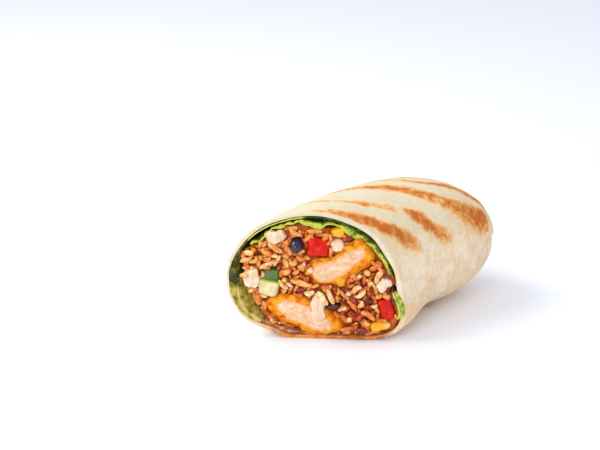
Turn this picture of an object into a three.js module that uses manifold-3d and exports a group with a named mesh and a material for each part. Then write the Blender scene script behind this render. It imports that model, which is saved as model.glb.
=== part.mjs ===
// Half of a crispy chicken wrap: a grilled flour tortilla rolled round seasoned rice, two breaded
// chicken strips, salad leaves and diced vegetables, cut across on the slant and laid on its side.
// Millimetres, +Z up. The cut faces -Y and the folded end +Y. The origin is on the table, under the
// middle of the wrap. Angles run round the roll from +X (its right side) up over the top.
import * as THREE from "three";
import { mergeVertices } from "three/addons/utils/BufferGeometryUtils.js";
import Module from "manifold-3d";

const wasm = await Module();
wasm.setup();

// ---------------------------------------------------------------- driving dimensions

const WRAP = {
  length: 101, // from the middle of the cut to the folded end
  halfWidth: { atCut: 32.3, halfWay: 34.2, atEnd: 32.5 },
  halfHeight: 29.5,
  pressedFlat: 1.6, // how much of the underside is pressed flat on the table
  squareness: 2.15, // 2 is an ellipse, more is boxier
  sway: { atCut: -4, halfWay: -3.3, atEnd: 9 }, // sideways drift of the roll's middle
  endRound: 45, // length over which the folded end closes
  endPower: 2.28,
};

// The slanted cut: its middle, how far it is turned from square across, and how far it leans back.
const CUT = { x: 3.05, y: -37.77, height: 29, slant: 39, lean: 4 };

const TORTILLA = {
  thick: 1.6,
  angles: 40,
  edge: { angle: -128, step: 1.2, fade: 40 }, // the sheet's outer edge, and how it fades round
  folds: { at: [-128, 9, 117], step: 1.3, from: 0.66 }, // tucks that close the end
};

// The inner end of the rolled sheet, a second layer that shows under the filling.
const FLAP = { from: -127, to: -84, gap: 0.7, thick: 1.4, rings: 8, recess: 0.5 };

// Where the squeezed sheet leaves the even oval near the cut: angle, spread in degrees, height in
// millimetres outwards, and how far back along the roll it fades.
const LIP_BULGES = [
  { angle: -37, spread: 21, height: 8.6, fade: 19 },
  { angle: -116, spread: 19, height: -2.4, fade: 40 },
  { angle: 26, spread: 17, height: -1.6, fade: 45 },
  { angle: 86, spread: 18, height: 1.2, fade: 40 },
  { angle: 178, spread: 20, height: 1.4, fade: 40 },
];

const GAP = 0.3; // clearance between touching pieces

const RICE = {
  clear: 0.6, // from the lining of sheet and leaves to the packed rice
  recess: 1.9, // how far the packed rice stands behind the cut
  bump: 0.55,
  backOff: 2.2, // clearance to the folded end
  grain: { length: 8.4, width: 2.6, sides: 5, full: 0.56 },
  grainCount: 82,
  crowding: 0.6, // least distance from a grain's middle to another grain, in grain widths
  seed: 9,
};

// Chicken strips: the outline of each cut face in the plane of the cut (across, up), how far the
// strip runs back into the wrap, and how far it drifts on the way.
const CHICKEN_LOW = {
  name: "chicken_low", length: 74, drift: [3, 1.5], crag: 0.55, seed: 3,
  outline: [
    [-23.3, -12], [-17.4, -8.5], [-11.2, -8.3], [-4.1, -10.6], [6, -16.9], [10.8, -20.1],
    [10, -25.1], [3, -27.8], [-5.6, -27.3], [-9.6, -23.2], [-16.6, -20.9], [-20.5, -17.7],
  ],
};
const CHICKEN_HIGH = {
  name: "chicken_high", length: 70, drift: [-3, 0.5], crag: 0.55, seed: 5,
  outline: [
    [-3.5, 2.6], [-2, 8.3], [5.7, 9.4], [11.8, 14.4], [16.4, 17.7], [20.2, 16.2], [24.1, 10.7],
    [23.5, 6.6], [18.2, 2.4], [13.6, -0.2], [12.1, -4.3], [5.9, -3.7], [-0.3, -3], [-3.4, -0.7],
  ],
};

// Leaves line the sheet. Each runs from one angle to another at a depth below the sheet's outside,
// and back from the cut to a station along the roll.
// A dip is a fold that hangs into the filling: its angle, its spread in degrees and how deep.
const LEAVES = [
  { name: "leaf_roof", from: 160, to: 4, depth: 2.25, dips: [], ripple: 0.08, back: 48 },
  {
    name: "leaf_fold", from: 144, to: 6, depth: 3.25, ripple: 0.12, back: 34,
    dips: [
      { at: 134, spread: 6, deep: 2.4 },
      { at: 85, spread: 9, deep: 3.7 },
      { at: 58, spread: 13, deep: 1.7 },
    ],
  },
  { name: "leaf_left", from: 229, to: 166, depth: 2.25, dips: [], ripple: 0.08, back: 30 },
  {
    name: "leaf_left_fold", from: 229, to: 176, depth: 3.3, ripple: 0.12, back: 6,
    dips: [{ at: 208, spread: 17, deep: 4.4 }],
  },
  { name: "leaf_right", from: -10, to: -29, depth: 2.4, dips: [], ripple: 0.1, back: 44 },
];
const LEAF = { thick: 0.6, step: 4.4 };

// Toppings that show at the cut: kind, middle on the cut (across, up), how far the middle stands
// out of it, full sizes, and turns in degrees about the cut's own three axes.
const TOPPINGS = [
  { name: "pepper_top", kind: "dice", at: [0, 13.7, -2.6], size: [9.4, 8.6, 7.4], turn: [-8, 10, -2] },
  { name: "pepper_right", kind: "dice", at: [30.4, -14.2, -3.0], size: [6.2, 10.6, 7.6], turn: [4, 14, 16] },
  { name: "green_dice", kind: "dice", at: [-20.6, -3.2, -2.4], size: [8.4, 12.6, 7.2], turn: [-10, -6, -10] },
  { name: "black_bean", kind: "bean", at: [-9.0, 14.4, -0.6], size: [6.2, 6.3, 9.0], turn: [14, -12, 0] },
  { name: "bean_low", kind: "bean", at: [7.2, -13.4, -0.2], size: [5.6, 3.8, 4.4], turn: [0, 0, 6] },
  { name: "bean_right", kind: "bean", at: [33.6, -5.6, -1.8], size: [2.6, 4.8, 4.6], turn: [0, 0, 8] },
  { name: "corn_top", kind: "corn", at: [8.9, 20.5, -1.2], size: [6.2, 4.8, 5.2], turn: [10, 0, 4] },
  { name: "corn_right", kind: "corn", at: [28.2, -22.2, -0.4], size: [9.0, 5.6, 4.8], turn: [0, 10, 6] },
  { name: "cheese_top", kind: "cheese", at: [8.9, 14.7, -2.0], size: [6.2, 5.4, 6.0], turn: [0, 0, 10] },
  { name: "cheese_high", kind: "cheese", at: [-18.4, 18.0, -1.0], size: [8.8, 5.8, 6.4], turn: [0, 0, 24] },
  { name: "cheese_left", kind: "cheese", at: [-29.0, -1.4, -1.0], size: [6.2, 9.6, 6.4], turn: [0, 0, 6] },
  { name: "cheese_right", kind: "cheese", at: [29.2, -2.4, -0.8], size: [5.6, 5.8, 5.6], turn: [0, 0, 40] },
  { name: "cheese_low", kind: "cheese", at: [1.0, -14.8, 0.4], size: [5.6, 15.4, 3.6], turn: [0, 0, 2] },
];

// Colours as the eye reads them, with each surface's roughness.
const COLOURS = {
  tortilla: { color: "#e8d9bf", roughness: 0.85 },
  rice: { color: "#c07a3c", roughness: 0.45 },
  chicken: { color: "#eda33f", roughness: 0.6 },
  leaf: { color: "#6f9b35", roughness: 0.5 },
  pepper: { color: "#d8230f", roughness: 0.25 },
  green: { color: "#4f7f3a", roughness: 0.3 },
  bean: { color: "#23222f", roughness: 0.25 },
  corn: { color: "#f3c21c", roughness: 0.35 },
  cheese: { color: "#f2e4d2", roughness: 0.7 },
};

// ---------------------------------------------------------------- small helpers

const radians = THREE.MathUtils.degToRad;
const clamp = THREE.MathUtils.clamp;

// A number from 0 to 1 for each call, the same ones for the same seed.
function seeded(seed) {
  let state = seed >>> 0;
  return () => {
    state = (Math.imul(state, 1664525) + 1013904223) >>> 0;
    return state / 4294967296;
  };
}

// A curve through three values, at 0, a half and 1.
function throughThree(first, middle, last, share) {
  return (
    first * 2 * (share - 0.5) * (share - 1) -
    middle * 4 * share * (share - 1) +
    last * 2 * share * (share - 0.5)
  );
}

// Cosine or sine with its corners filled out, for an oval that is nearly a box.
function squared(value) {
  return Math.sign(value) * Math.abs(value) ** (2 / WRAP.squareness);
}

// The shortest way round from one angle to another, in degrees.
function angleBetween(a, b) {
  return ((((a - b + 180) % 360) + 360) % 360) - 180;
}

// A geometry's outside as a manifold solid, and back.
function toSolid(geometry) {
  const bare = geometry.clone();
  bare.deleteAttribute("normal");
  bare.deleteAttribute("uv");
  const merged = mergeVertices(bare, 1e-4);
  return new wasm.Manifold(
    new wasm.Mesh({
      numProp: 3,
      vertProperties: merged.attributes.position.array,
      triVerts: new Uint32Array(merged.index.array),
    }),
  );
}
function toGeometry(solid) {
  const { vertProperties, triVerts } = solid.getMesh();
  const geometry = new THREE.BufferGeometry();
  geometry.setAttribute("position", new THREE.BufferAttribute(new Float32Array(vertProperties), 3));
  geometry.setIndex(new THREE.BufferAttribute(triVerts, 1));
  geometry.computeVertexNormals();
  return geometry;
}

// A closed skin over rings of points. Each end is closed by its own point, and a ring runs round
// so that its faces point away from the line between those two.
function skinOverRings(rings, firstTip, lastTip) {
  const round = rings[0].length;
  const points = [...rings.flat(), firstTip, lastTip];
  const faces = [];
  const first = points.length - 2;
  const last = points.length - 1;
  for (let i = 0; i < round; i++) {
    const next = (i + 1) % round;
    for (let ring = 0; ring < rings.length - 1; ring++) {
      const a = ring * round + i;
      const b = ring * round + next;
      faces.push(a, b + round, b, a, a + round, b + round);
    }
    const end = (rings.length - 1) * round;
    faces.push(first, i, next, last, end + next, end + i);
  }
  const geometry = new THREE.BufferGeometry();
  geometry.setAttribute("position", new THREE.Float32BufferAttribute(points.flatMap((p) => p.toArray()), 3));
  geometry.setIndex(faces);
  geometry.computeVertexNormals();
  return geometry;
}

// A closed skin over a thin sheet, from the two grids of points on its faces. Both grids are split
// into triangles alike, and their four edges are joined.
function skinOverSheet(front, back) {
  const rows = front.length;
  const columns = front[0].length;
  const points = [...front.flat(), ...back.flat()];
  const behind = rows * columns;
  const faces = [];
  for (let row = 0; row < rows - 1; row++) {
    for (let column = 0; column < columns - 1; column++) {
      const a = row * columns + column;
      const [b, c, d] = [a + 1, a + columns + 1, a + columns];
      faces.push(a, c, b, a, d, c);
      faces.push(behind + a, behind + b, behind + c, behind + a, behind + c, behind + d);
    }
  }
  const corner = (row, column) => row * columns + column;
  const rim = [
    ...Array.from({ length: columns - 1 }, (_, i) => corner(0, i)),
    ...Array.from({ length: rows - 1 }, (_, i) => corner(i, columns - 1)),
    ...Array.from({ length: columns - 1 }, (_, i) => corner(rows - 1, columns - 1 - i)),
    ...Array.from({ length: rows - 1 }, (_, i) => corner(rows - 1 - i, 0)),
  ];
  rim.forEach((a, i) => {
    const b = rim[(i + 1) % rim.length];
    faces.push(a, behind + b, behind + a, a, b, behind + b);
  });
  const geometry = new THREE.BufferGeometry();
  geometry.setAttribute("position", new THREE.Float32BufferAttribute(points.flatMap((p) => p.toArray()), 3));
  geometry.setIndex(faces);
  geometry.computeVertexNormals();
  return geometry;
}

// ---------------------------------------------------------------- the plane of the cut

const slant = radians(CUT.slant);
const lean = radians(CUT.lean);
const cutOut = new THREE.Vector3(
  Math.sin(slant) * Math.cos(lean),
  -Math.cos(slant) * Math.cos(lean),
  Math.sin(lean),
); // straight out of the cut
const cutAcross = new THREE.Vector3(Math.cos(slant), Math.sin(slant), 0);
const cutUp = new THREE.Vector3().crossVectors(cutOut, cutAcross);
const cutMiddle = new THREE.Vector3(CUT.x, CUT.y, CUT.height);

// Everything that sits in the cut hangs in this group: X across, Y up, Z out of the cut.
const cutFace = new THREE.Group();
cutFace.applyMatrix4(new THREE.Matrix4().makeBasis(cutAcross, cutUp, cutOut).setPosition(cutMiddle));
cutFace.updateMatrixWorld(true);

// ---------------------------------------------------------------- the rolled sheet's form

// How far the sheet is pushed out near the cut, at an angle and a distance behind the cut.
function lipBulge(angle, behind) {
  return LIP_BULGES.reduce((sum, { angle: at, spread, height, fade }) => {
    const off = angleBetween(angle, at) / spread;
    return sum + height * Math.exp(-off * off) * Math.exp(-((behind / fade) ** 2));
  }, 0);
}

// How closed the end is at a station along the roll: 1 where it is full, 0 at its tip.
function closing(station, inset) {
  const round = WRAP.endRound - inset;
  const share = clamp((station - (WRAP.length - inset - round)) / round, 0, 1);
  return (1 - share ** WRAP.endPower) ** (1 / WRAP.endPower);
}

// A point of the oval roll, inset millimetres inside its skin.
function rollPoint(angle, station, inset, behind) {
  const share = station / WRAP.length;
  const full = closing(station, inset);
  const { atCut, halfWay, atEnd } = WRAP.halfWidth;
  const halfWidth = (throughThree(atCut, halfWay, atEnd, share) - inset) * full;
  const halfHeight = (WRAP.halfHeight - inset) * full;
  const sway = throughThree(WRAP.sway.atCut, WRAP.sway.halfWay, WRAP.sway.atEnd, share);
  const bulge = lipBulge(angle, behind) * full;
  const cos = Math.cos(radians(angle));
  const sin = Math.sin(radians(angle));
  const middle = WRAP.halfHeight - WRAP.pressedFlat;
  const x = sway + halfWidth * squared(cos) + bulge * cos;
  const z = middle + halfHeight * squared(sin) + bulge * sin;
  return new THREE.Vector3(CUT.x + x, CUT.y + station, Math.max(z, inset));
}

// The station where the cut, moved back by recess, crosses the line at an angle and inset.
function stationAtCut(angle, inset = 0, recess = 0) {
  let station = 0;
  for (let turn = 0; turn < 14; turn++) {
    const p = rollPoint(angle, station, inset, 0).sub(cutMiddle);
    station = (p.x * cutOut.x + p.z * cutOut.z + recess) / -cutOut.y;
  }
  return station;
}

// A point on the roll at a share of the way from the cut (0) to the closed end (1).
function alongRoll(angle, share, inset = 0, recess = 0) {
  const start = stationAtCut(angle, inset, recess);
  const station = start + (WRAP.length - inset - start) * share;
  return rollPoint(angle, station, inset, station - stationAtCut(angle));
}

// ---------------------------------------------------------------- tortilla

// Shares of the way back at which the sheet gets a ring: close at the lip and at the closed end.
const RING_SHARES = [0, 0.045, 0.1, 0.17, 0.27, 0.39, 0.51, 0.62, 0.71, 0.79, 0.86, 0.92, 0.965, 0.99];

// Even steps round the roll, with two close ones at every edge and fold that makes a step.
function sheetAngles() {
  const even = Array.from({ length: TORTILLA.angles }, (_, i) => -90 + (i * 360) / TORTILLA.angles);
  const { at } = TORTILLA.folds;
  const clear = even.filter((angle) => at.every((fold) => Math.abs(angleBetween(angle, fold)) > 2.5));
  const edges = at.flatMap((fold) => [fold - 0.6, fold + 0.6]);
  return [...clear, ...edges].map((angle) => ((angle + 450) % 360) - 90).sort((a, b) => a - b);
}

// The step of the sheet's outer edge along the roll, which fades round to the right.
function edgeRelief(angle) {
  const { angle: at, step, fade } = TORTILLA.edge;
  const past = angleBetween(angle, at);
  const ends = clamp((-30 - angle) / 30, 0, 1);
  return past > 0 ? step * Math.exp(-past / fade) * ends : 0;
}

// The tucks that close the end. Each stands out at its edge and slopes down to the next one.
function foldRelief(angle, share) {
  const { at, step, from } = TORTILLA.folds;
  const past = at.map((fold) => (((angle - fold) % 360) + 360) % 360);
  const next = at.map((fold) => (((fold - angle) % 360) + 360) % 360);
  const since = Math.min(...past);
  const until = Math.min(...next.filter((gap) => gap > 0));
  const onEnd = clamp((share - from) / (1 - from), 0, 1);
  return step * (until / (since + until)) * Math.sin(Math.PI * onEnd ** 1.5);
}

// How far the sheet's outside stands out.
function sheetRelief(angle, share) {
  const alongSide = clamp((1 - share) / 0.3, 0, 1);
  return edgeRelief(angle) * alongSide + foldRelief(angle, share);
}

function tortillaSheet() {
  const angles = sheetAngles();
  const outside = RING_SHARES.map((share) =>
    angles.map((angle) => {
      const p = alongRoll(angle, share);
      if (p.z <= 0) return p;
      const out = sheetRelief(angle, share);
      p.x += out * Math.cos(radians(angle));
      p.z = Math.max(p.z + out * Math.sin(radians(angle)), 0);
      return p;
    }),
  );
  const inside = RING_SHARES.map((share) =>
    angles.map((angle) => alongRoll(angle, share, TORTILLA.thick)),
  );
  const outerTip = rollPoint(0, WRAP.length, 0, 99);
  const innerTip = rollPoint(0, WRAP.length - TORTILLA.thick, TORTILLA.thick, 99);
  // One skin from the inner tip, out over the lip, and back to the outer tip.
  const cup = skinOverRings([...inside.toReversed(), ...outside], innerTip, outerTip);
  return toGeometry(toSolid(cup).add(toSolid(innerFlap())));
}

// The rolled sheet's inner end: it leaves the wall at one side and lies just inside it.
function innerFlap() {
  const round = sheetAngles()
    .map((angle) => (angle > 180 ? angle - 360 : angle))
    .filter((angle) => angle > FLAP.from && angle < FLAP.to)
    .sort((a, b) => a - b);
  const shares = RING_SHARES.slice(0, FLAP.rings);
  const insetAt = (i) => (i < round.length - 1 ? TORTILLA.thick + FLAP.gap : TORTILLA.thick / 2);
  const point = (i, share, inset) => alongRoll(round[i], share, inset, share === 0 ? FLAP.recess : 0);
  const innerFace = TORTILLA.thick + FLAP.gap + FLAP.thick;
  return skinOverSheet(
    shares.map((share) => round.map((_, i) => point(i, share, insetAt(i)))),
    shares.map((share) => round.map((_, i) => point(i, share, innerFace))),
  );
}

// ---------------------------------------------------------------- leaves

// How deep a leaf's middle lies under the sheet's outside at an angle, where it is cut.
function leafDepth({ depth, dips }, angle) {
  return dips.reduce((sum, { at, spread, deep }) => {
    const off = angleBetween(angle, at) / spread;
    return sum + deep * Math.exp(-off * off);
  }, depth);
}

// A thin wavy sheet that follows the roll. Its folds flatten out on the way back.
function leafSheet(leaf) {
  const { from, to, depth, ripple, back } = leaf;
  const across = Math.round(Math.abs(to - from) / LEAF.step);
  const shares = [0, 0.22, 0.55, 1];
  const point = (step, share, side) => {
    const angle = from + (to - from) * step;
    const fold = (leafDepth(leaf, angle) - depth) * (1 - 0.7 * share);
    const inset = depth + fold + ripple * Math.sin(angle * 0.3 + share * 5) + (side * LEAF.thick) / 2;
    const ragged = 0.86 + 0.14 * Math.sin(step * 9 + leaf.depth);
    const start = stationAtCut(angle, inset, GAP);
    const station = start + (back - start) * share * ragged;
    return rollPoint(angle, station, inset, station - stationAtCut(angle));
  };
  const steps = Array.from({ length: across + 1 }, (_, i) => i / across);
  const face = (side) => shares.map((share) => steps.map((step) => point(step, share, side)));
  return skinOverSheet(face(1), face(-1));
}

// How far the lining of sheet, flap and leaves reaches in from the outside at an angle.
function liningDepth(angle) {
  const onFlap = angleBetween(angle, FLAP.from) > -4 && angleBetween(angle, FLAP.to) < 8;
  const flap = onFlap && angleBetween(angle, FLAP.from) < 90 ? FLAP.gap + FLAP.thick : 0;
  const leaves = LEAVES.map((leaf) => {
    const middle = (leaf.from + leaf.to) / 2;
    const half = Math.abs(leaf.from - leaf.to) / 2;
    const covers = Math.abs(angleBetween(angle, middle)) < half + 3;
    return covers ? leafDepth(leaf, angle) + leaf.ripple + LEAF.thick / 2 : 0;
  });
  return Math.max(TORTILLA.thick + flap, ...leaves);
}

// The room that the lining leaves for the filling, with its clearance, a little beyond an angle.
function roomInset(angle, clear) {
  return Math.max(...[-7, 0, 7].map((off) => liningDepth(angle + off))) + clear;
}

// A skin round the room, from in front of the cut or behind it (recess) to the folded end.
function roomSkin(count, shares, clear, recess) {
  const angles = Array.from({ length: count }, (_, i) => -90 + (i * 360) / count);
  return shares.map((share) =>
    angles.map((angle) => alongRoll(angle, share * 0.985, roomInset(angle, clear), recess)),
  );
}

// ---------------------------------------------------------------- chicken strips

// Smooth bumps that repeat round the strip.
function cragRelief(share, seed) {
  const angle = share * Math.PI * 2;
  const broad = Math.sin(angle * 5 + seed) * 0.4;
  const fine = Math.sin(angle * 9 - seed * 2) * 0.35 + Math.sin(angle * 13 + seed) * 0.25;
  return broad + fine;
}

// The strip's cut face: points round its outline, with crags, grown outwards by so much.
function stripOutline({ outline, crag, seed }, count, grow = 0) {
  const curve = new THREE.CatmullRomCurve3(
    outline.map(([x, y]) => new THREE.Vector3(x, y, 0)).toReversed(), true, "centripetal",
  );
  return Array.from({ length: count }, (_, i) => {
    const p = curve.getPointAt(i / count);
    const { x, y } = curve.getTangentAt(i / count);
    const out = crag * cragRelief(i / count, seed) + grow;
    return new THREE.Vector3(p.x + y * out, p.y - x * out, 0);
  });
}

function middleOf(points) {
  return points.reduce((sum, p) => sum.add(p), new THREE.Vector3()).divideScalar(points.length);
}

function chickenStrip(spec, grow = 0) {
  const outline = stripOutline(spec, 28, grow);
  const middle = middleOf(outline);
  const out = 0.6 + grow * 8;
  const place = (p, back, width, forward) => {
    const share = back / spec.length;
    const q = middle.clone().lerp(p, width);
    q.x += spec.drift[0] * share;
    q.y += spec.drift[1] * share;
    q.z = forward;
    return q.applyMatrix4(cutFace.matrix).add(new THREE.Vector3(0, back, 0));
  };
  const ring = (back, width, forward = 0) => outline.map((p) => place(p, back, width, forward));
  const rings = [
    ring(0, 0.5, out),
    ring(0, 0.94, out * 0.8),
    ring(0, 1),
    ring(spec.length * 0.35, 0.98),
    ring(spec.length * 0.7, 0.94),
    ring(spec.length * 0.92, 0.74),
    ring(spec.length, 0.3 + grow * 0.05),
  ];
  return skinOverRings(rings, place(middle, 0, 0, out), place(middle, spec.length + 1 + grow, 0, 0));
}

// The strip as it lies: pressed against the lining, with beds for the toppings on it.
function chickenPiece(spec, beds) {
  const room = roomSkin(60, [0, 0.12, 0.3, 0.6, 0.85, 1], RICE.clear, -4);
  const front = middleOf(room[0]);
  const back = middleOf(room.at(-1));
  const inRoom = toSolid(chickenStrip(spec)).intersect(toSolid(skinOverRings(room, front, back)));
  const [largest] = wasm.Manifold.difference([inRoom, ...beds])
    .decompose()
    .sort((a, b) => b.volume() - a.volume());
  return largest;
}

// ---------------------------------------------------------------- toppings

const ROUND_SIDES = [10, 6];

// A cube of vegetable with soft edges: the cut sides are flat and the skin side bellies out.
function dice(size) {
  const geometry = new THREE.BoxGeometry(1, 1, 1, 3, 3, 3);
  const p = new THREE.Vector3();
  const at = geometry.attributes.position;
  for (let i = 0; i < at.count; i++) {
    p.fromBufferAttribute(at, i).multiplyScalar(2);
    const roundness = 1 / (Math.abs(p.x) ** 7 + Math.abs(p.y) ** 7 + Math.abs(p.z) ** 7) ** (1 / 7);
    const belly = 1 + 0.07 * (1 - p.x * p.x) * (1 - p.y * p.y);
    p.multiplyScalar(Math.min(1, roundness * 1.02));
    at.setXYZ(i, (p.x * size[0]) / 2, (p.y * size[1]) / 2, (p.z * belly * size[2]) / 2);
  }
  return geometry;
}

// A bean: an oval, pressed in a little along one side.
function bean(size) {
  const geometry = new THREE.SphereGeometry(0.5, ...ROUND_SIDES);
  const at = geometry.attributes.position;
  for (let i = 0; i < at.count; i++) {
    const [x, y, z] = [at.getX(i), at.getY(i), at.getZ(i)];
    const hollow = 0.16 * Math.exp(-((z / 0.25) ** 2)) * (x < 0 ? 1 : 0.2);
    at.setXYZ(i, (x + hollow * (x < 0 ? 1 : 0) * 0.5) * size[0], y * size[1], z * size[2]);
  }
  return geometry;
}

// A corn kernel: broad and rounded at its crown, narrow at its root.
function corn(size) {
  const geometry = new THREE.SphereGeometry(0.5, ...ROUND_SIDES);
  const at = geometry.attributes.position;
  for (let i = 0; i < at.count; i++) {
    const [x, y, z] = [at.getX(i), at.getY(i), at.getZ(i)];
    const narrow = 1 - 0.45 * (x + 0.5);
    const reach = (Math.abs(x * 2) ** 4 + Math.abs(y * 2) ** 4 + Math.abs(z * 2) ** 4) ** 0.25;
    const box = 1 / Math.max(0.75, reach);
    at.setXYZ(i, x * size[0] * box, y * size[1] * narrow * 1.15 * box, z * size[2] * narrow * 1.1 * box);
  }
  return geometry;
}

// A torn crumb of soft cheese, lumpy all over.
function cheese(size, seed) {
  const geometry = new THREE.SphereGeometry(0.5, 11, 7);
  const at = geometry.attributes.position;
  for (let i = 0; i < at.count; i++) {
    const [x, y, z] = [at.getX(i), at.getY(i), at.getZ(i)];
    const lump =
      1 +
      0.13 * Math.sin(x * 11 + seed) * Math.cos(y * 10 - seed * 2) +
      0.1 * Math.sin(z * 13 + y * 8 + seed * 3);
    at.setXYZ(i, x * size[0] * lump, y * size[1] * lump, z * size[2] * lump);
  }
  return geometry;
}

const MAKERS = { dice, bean, corn, cheese };

// How much wider an eight-sided oval has to be to clear each kind.
const BED_ROUNDNESS = { bean: 1.12, corn: 1.32, cheese: 1.34 };

function toppingMesh(spec, index, colour) {
  const mesh = new THREE.Mesh(MAKERS[spec.kind](spec.size, index * 1.7), colour);
  mesh.name = spec.name;
  mesh.position.set(...spec.at);
  mesh.rotation.set(...spec.turn.map(radians));
  return mesh;
}

// The bed that a topping lies in: a plain oval or block all round it, in the wrap's own frame.
function toppingBed(mesh, { kind, size }) {
  mesh.updateMatrixWorld(true);
  const round = kind !== "dice";
  const shape = round ? new THREE.SphereGeometry(0.5, 8, 5) : new THREE.BoxGeometry(1, 1, 1);
  const grow = size.map((length) => length * (round ? BED_ROUNDNESS[kind] : 1.02) + 2 * GAP);
  return toSolid(shape.scale(...grow).applyMatrix4(mesh.matrixWorld));
}

// ---------------------------------------------------------------- rice

// The packed rice without its loose grains: it fills the roll behind a lumpy face.
function riceBody() {
  const rings = roomSkin(36, [0, 0.06, 0.15, 0.3, 0.52, 0.74, 0.9, 0.97], RICE.clear, RICE.recess);
  const middle = middleOf(rings[0]);
  const faceRing = (shrink) =>
    rings[0].map((p, i) => {
      const lump = RICE.bump * Math.sin(i * 1.9 + shrink * 23);
      return middle.clone().lerp(p, shrink).addScaledVector(cutOut, lump);
    });
  const tip = rollPoint(0, WRAP.length - TORTILLA.thick - RICE.backOff, TORTILLA.thick, 99);
  return toSolid(skinOverRings([faceRing(0.3), faceRing(0.7), ...rings], middle, tip));
}

// One cooked grain along X: a faceted spindle, widest over its middle half.
function grainGeometry(length, width) {
  const { sides, full } = RICE.grain;
  const rings = [-full / 2, full / 2].map((station) =>
    Array.from({ length: sides }, (_, i) => {
      const angle = (i / sides) * Math.PI * 2;
      const [y, z] = [(width / 2) * Math.sin(angle), (width / 2) * Math.cos(angle)];
      return new THREE.Vector3(station * length, y, z);
    }),
  );
  return skinOverRings(rings, new THREE.Vector3(-length / 2, 0, 0), new THREE.Vector3(length / 2, 0, 0));
}

// How far a point on the cut is outside a closed outline, and less than 0 inside it.
function distanceOutside([x, y], outline) {
  let nearest = Infinity;
  let inside = false;
  outline.forEach(([ax, ay], i) => {
    const [bx, by] = outline[(i + 1) % outline.length];
    const along = (x - ax) * (bx - ax) + (y - ay) * (by - ay);
    const share = clamp(along / ((bx - ax) ** 2 + (by - ay) ** 2), 0, 1);
    nearest = Math.min(nearest, Math.hypot(ax + (bx - ax) * share - x, ay + (by - ay) * share - y));
    if (ay > y !== by > y && x < ((bx - ax) * (y - ay)) / (by - ay) + ax) inside = !inside;
  });
  return inside ? -nearest : nearest;
}

// The outline of a topping seen from straight in front of the cut.
function toppingOutline(mesh) {
  mesh.updateMatrix();
  const at = mesh.geometry.attributes.position;
  const seen = Array.from({ length: at.count }, (_, i) =>
    new THREE.Vector3().fromBufferAttribute(at, i).applyMatrix4(mesh.matrix),
  );
  const sectors = 14;
  return Array.from({ length: sectors }, (_, i) => {
    const angle = (i / sectors) * Math.PI * 2;
    const [cos, sin] = [Math.cos(angle), Math.sin(angle)];
    const { x, y } = mesh.position;
    const reach = Math.max(...seen.map((p) => (p.x - x) * cos + (p.y - y) * sin));
    return [x + reach * cos, y + reach * sin];
  });
}

// Grains spread over the rice that shows. A grain that would touch a topping, or leave the rice, is
// skipped, and so is one that lies along another.
function looseGrains(outlines, edge) {
  const random = seeded(RICE.seed);
  const placed = [];
  for (let tries = 0; tries < 60000 && placed.length < RICE.grainCount; tries++) {
    const middle = [(random() - 0.5) * 78, (random() - 0.5) * 56];
    const turn = random() * Math.PI * 2;
    const tilt = radians(random() < 0.14 ? 55 : (random() - 0.5) * 30);
    const length = RICE.grain.length * (0.82 + 0.3 * random());
    const width = RICE.grain.width * (0.85 + 0.25 * random());
    const out = -1.5 + 1.5 * random();
    const reach = (length / 2) * Math.cos(tilt);
    const along = [Math.cos(turn) * reach, Math.sin(turn) * reach];
    const spots = [-1, -0.5, 0, 0.5, 1].map((s) => [middle[0] + along[0] * s, middle[1] + along[1] * s]);
    const room = width / 2 + GAP;
    if (spots.some((spot) => distanceOutside(spot, edge) > -room)) continue;
    const touches = (outline) => spots.some((spot) => distanceOutside(spot, outline) < room + 0.1);
    if (outlines.some(touches)) continue;
    const crowd = placed.some(({ spots: others }) =>
      others.some((o) => Math.hypot(o[0] - middle[0], o[1] - middle[1]) < width * RICE.crowding),
    );
    if (crowd) continue;
    placed.push({ spots, middle, turn, tilt, length, width, out });
  }
  return placed.map(({ middle, turn, tilt, length, width, out }) => {
    const grain = new THREE.Object3D();
    grain.position.set(middle[0], middle[1], out);
    grain.rotation.set(0, -tilt, turn, "ZYX");
    grain.updateMatrix();
    return toSolid(grainGeometry(length, width).applyMatrix4(grain.matrix).applyMatrix4(cutFace.matrix));
  });
}

function riceHeap(toppings, strips, beds) {
  const edgeCount = 60;
  const toCut = cutFace.matrix.clone().invert();
  const edge = Array.from({ length: edgeCount }, (_, i) => {
    const angle = -90 + (i * 360) / edgeCount;
    const p = alongRoll(angle, 0, roomInset(angle, GAP)).applyMatrix4(toCut);
    return [p.x, p.y];
  });
  const asPairs = (points) => points.map((p) => [p.x, p.y]);
  const stripEdges = strips.map((spec) => asPairs(stripOutline(spec, 28, 0.1)));
  const stripBeds = strips.map((spec) => toSolid(chickenStrip(spec, GAP + 0.1)));
  const outlines = [...toppings.map(toppingOutline), ...stripEdges];
  const packed = wasm.Manifold.union([riceBody(), ...looseGrains(outlines, edge)]);
  const heap = wasm.Manifold.difference([packed, ...beds, ...stripBeds]);
  const [largest] = heap.decompose().sort((a, b) => b.volume() - a.volume());
  return toGeometry(largest);
}

// ---------------------------------------------------------------- the whole wrap

function finish({ color, roughness }) {
  return new THREE.MeshStandardMaterial({ color, roughness, metalness: 0 });
}

const wrap = new THREE.Group();

function addPiece(name, geometry, colour) {
  const mesh = new THREE.Mesh(geometry, finish(colour));
  mesh.name = name;
  wrap.add(mesh);
}

const TOPPING_COLOURS = {
  pepper_top: COLOURS.pepper, pepper_right: COLOURS.pepper, green_dice: COLOURS.green,
};
const KIND_COLOURS = { bean: COLOURS.bean, corn: COLOURS.corn, cheese: COLOURS.cheese };

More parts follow.
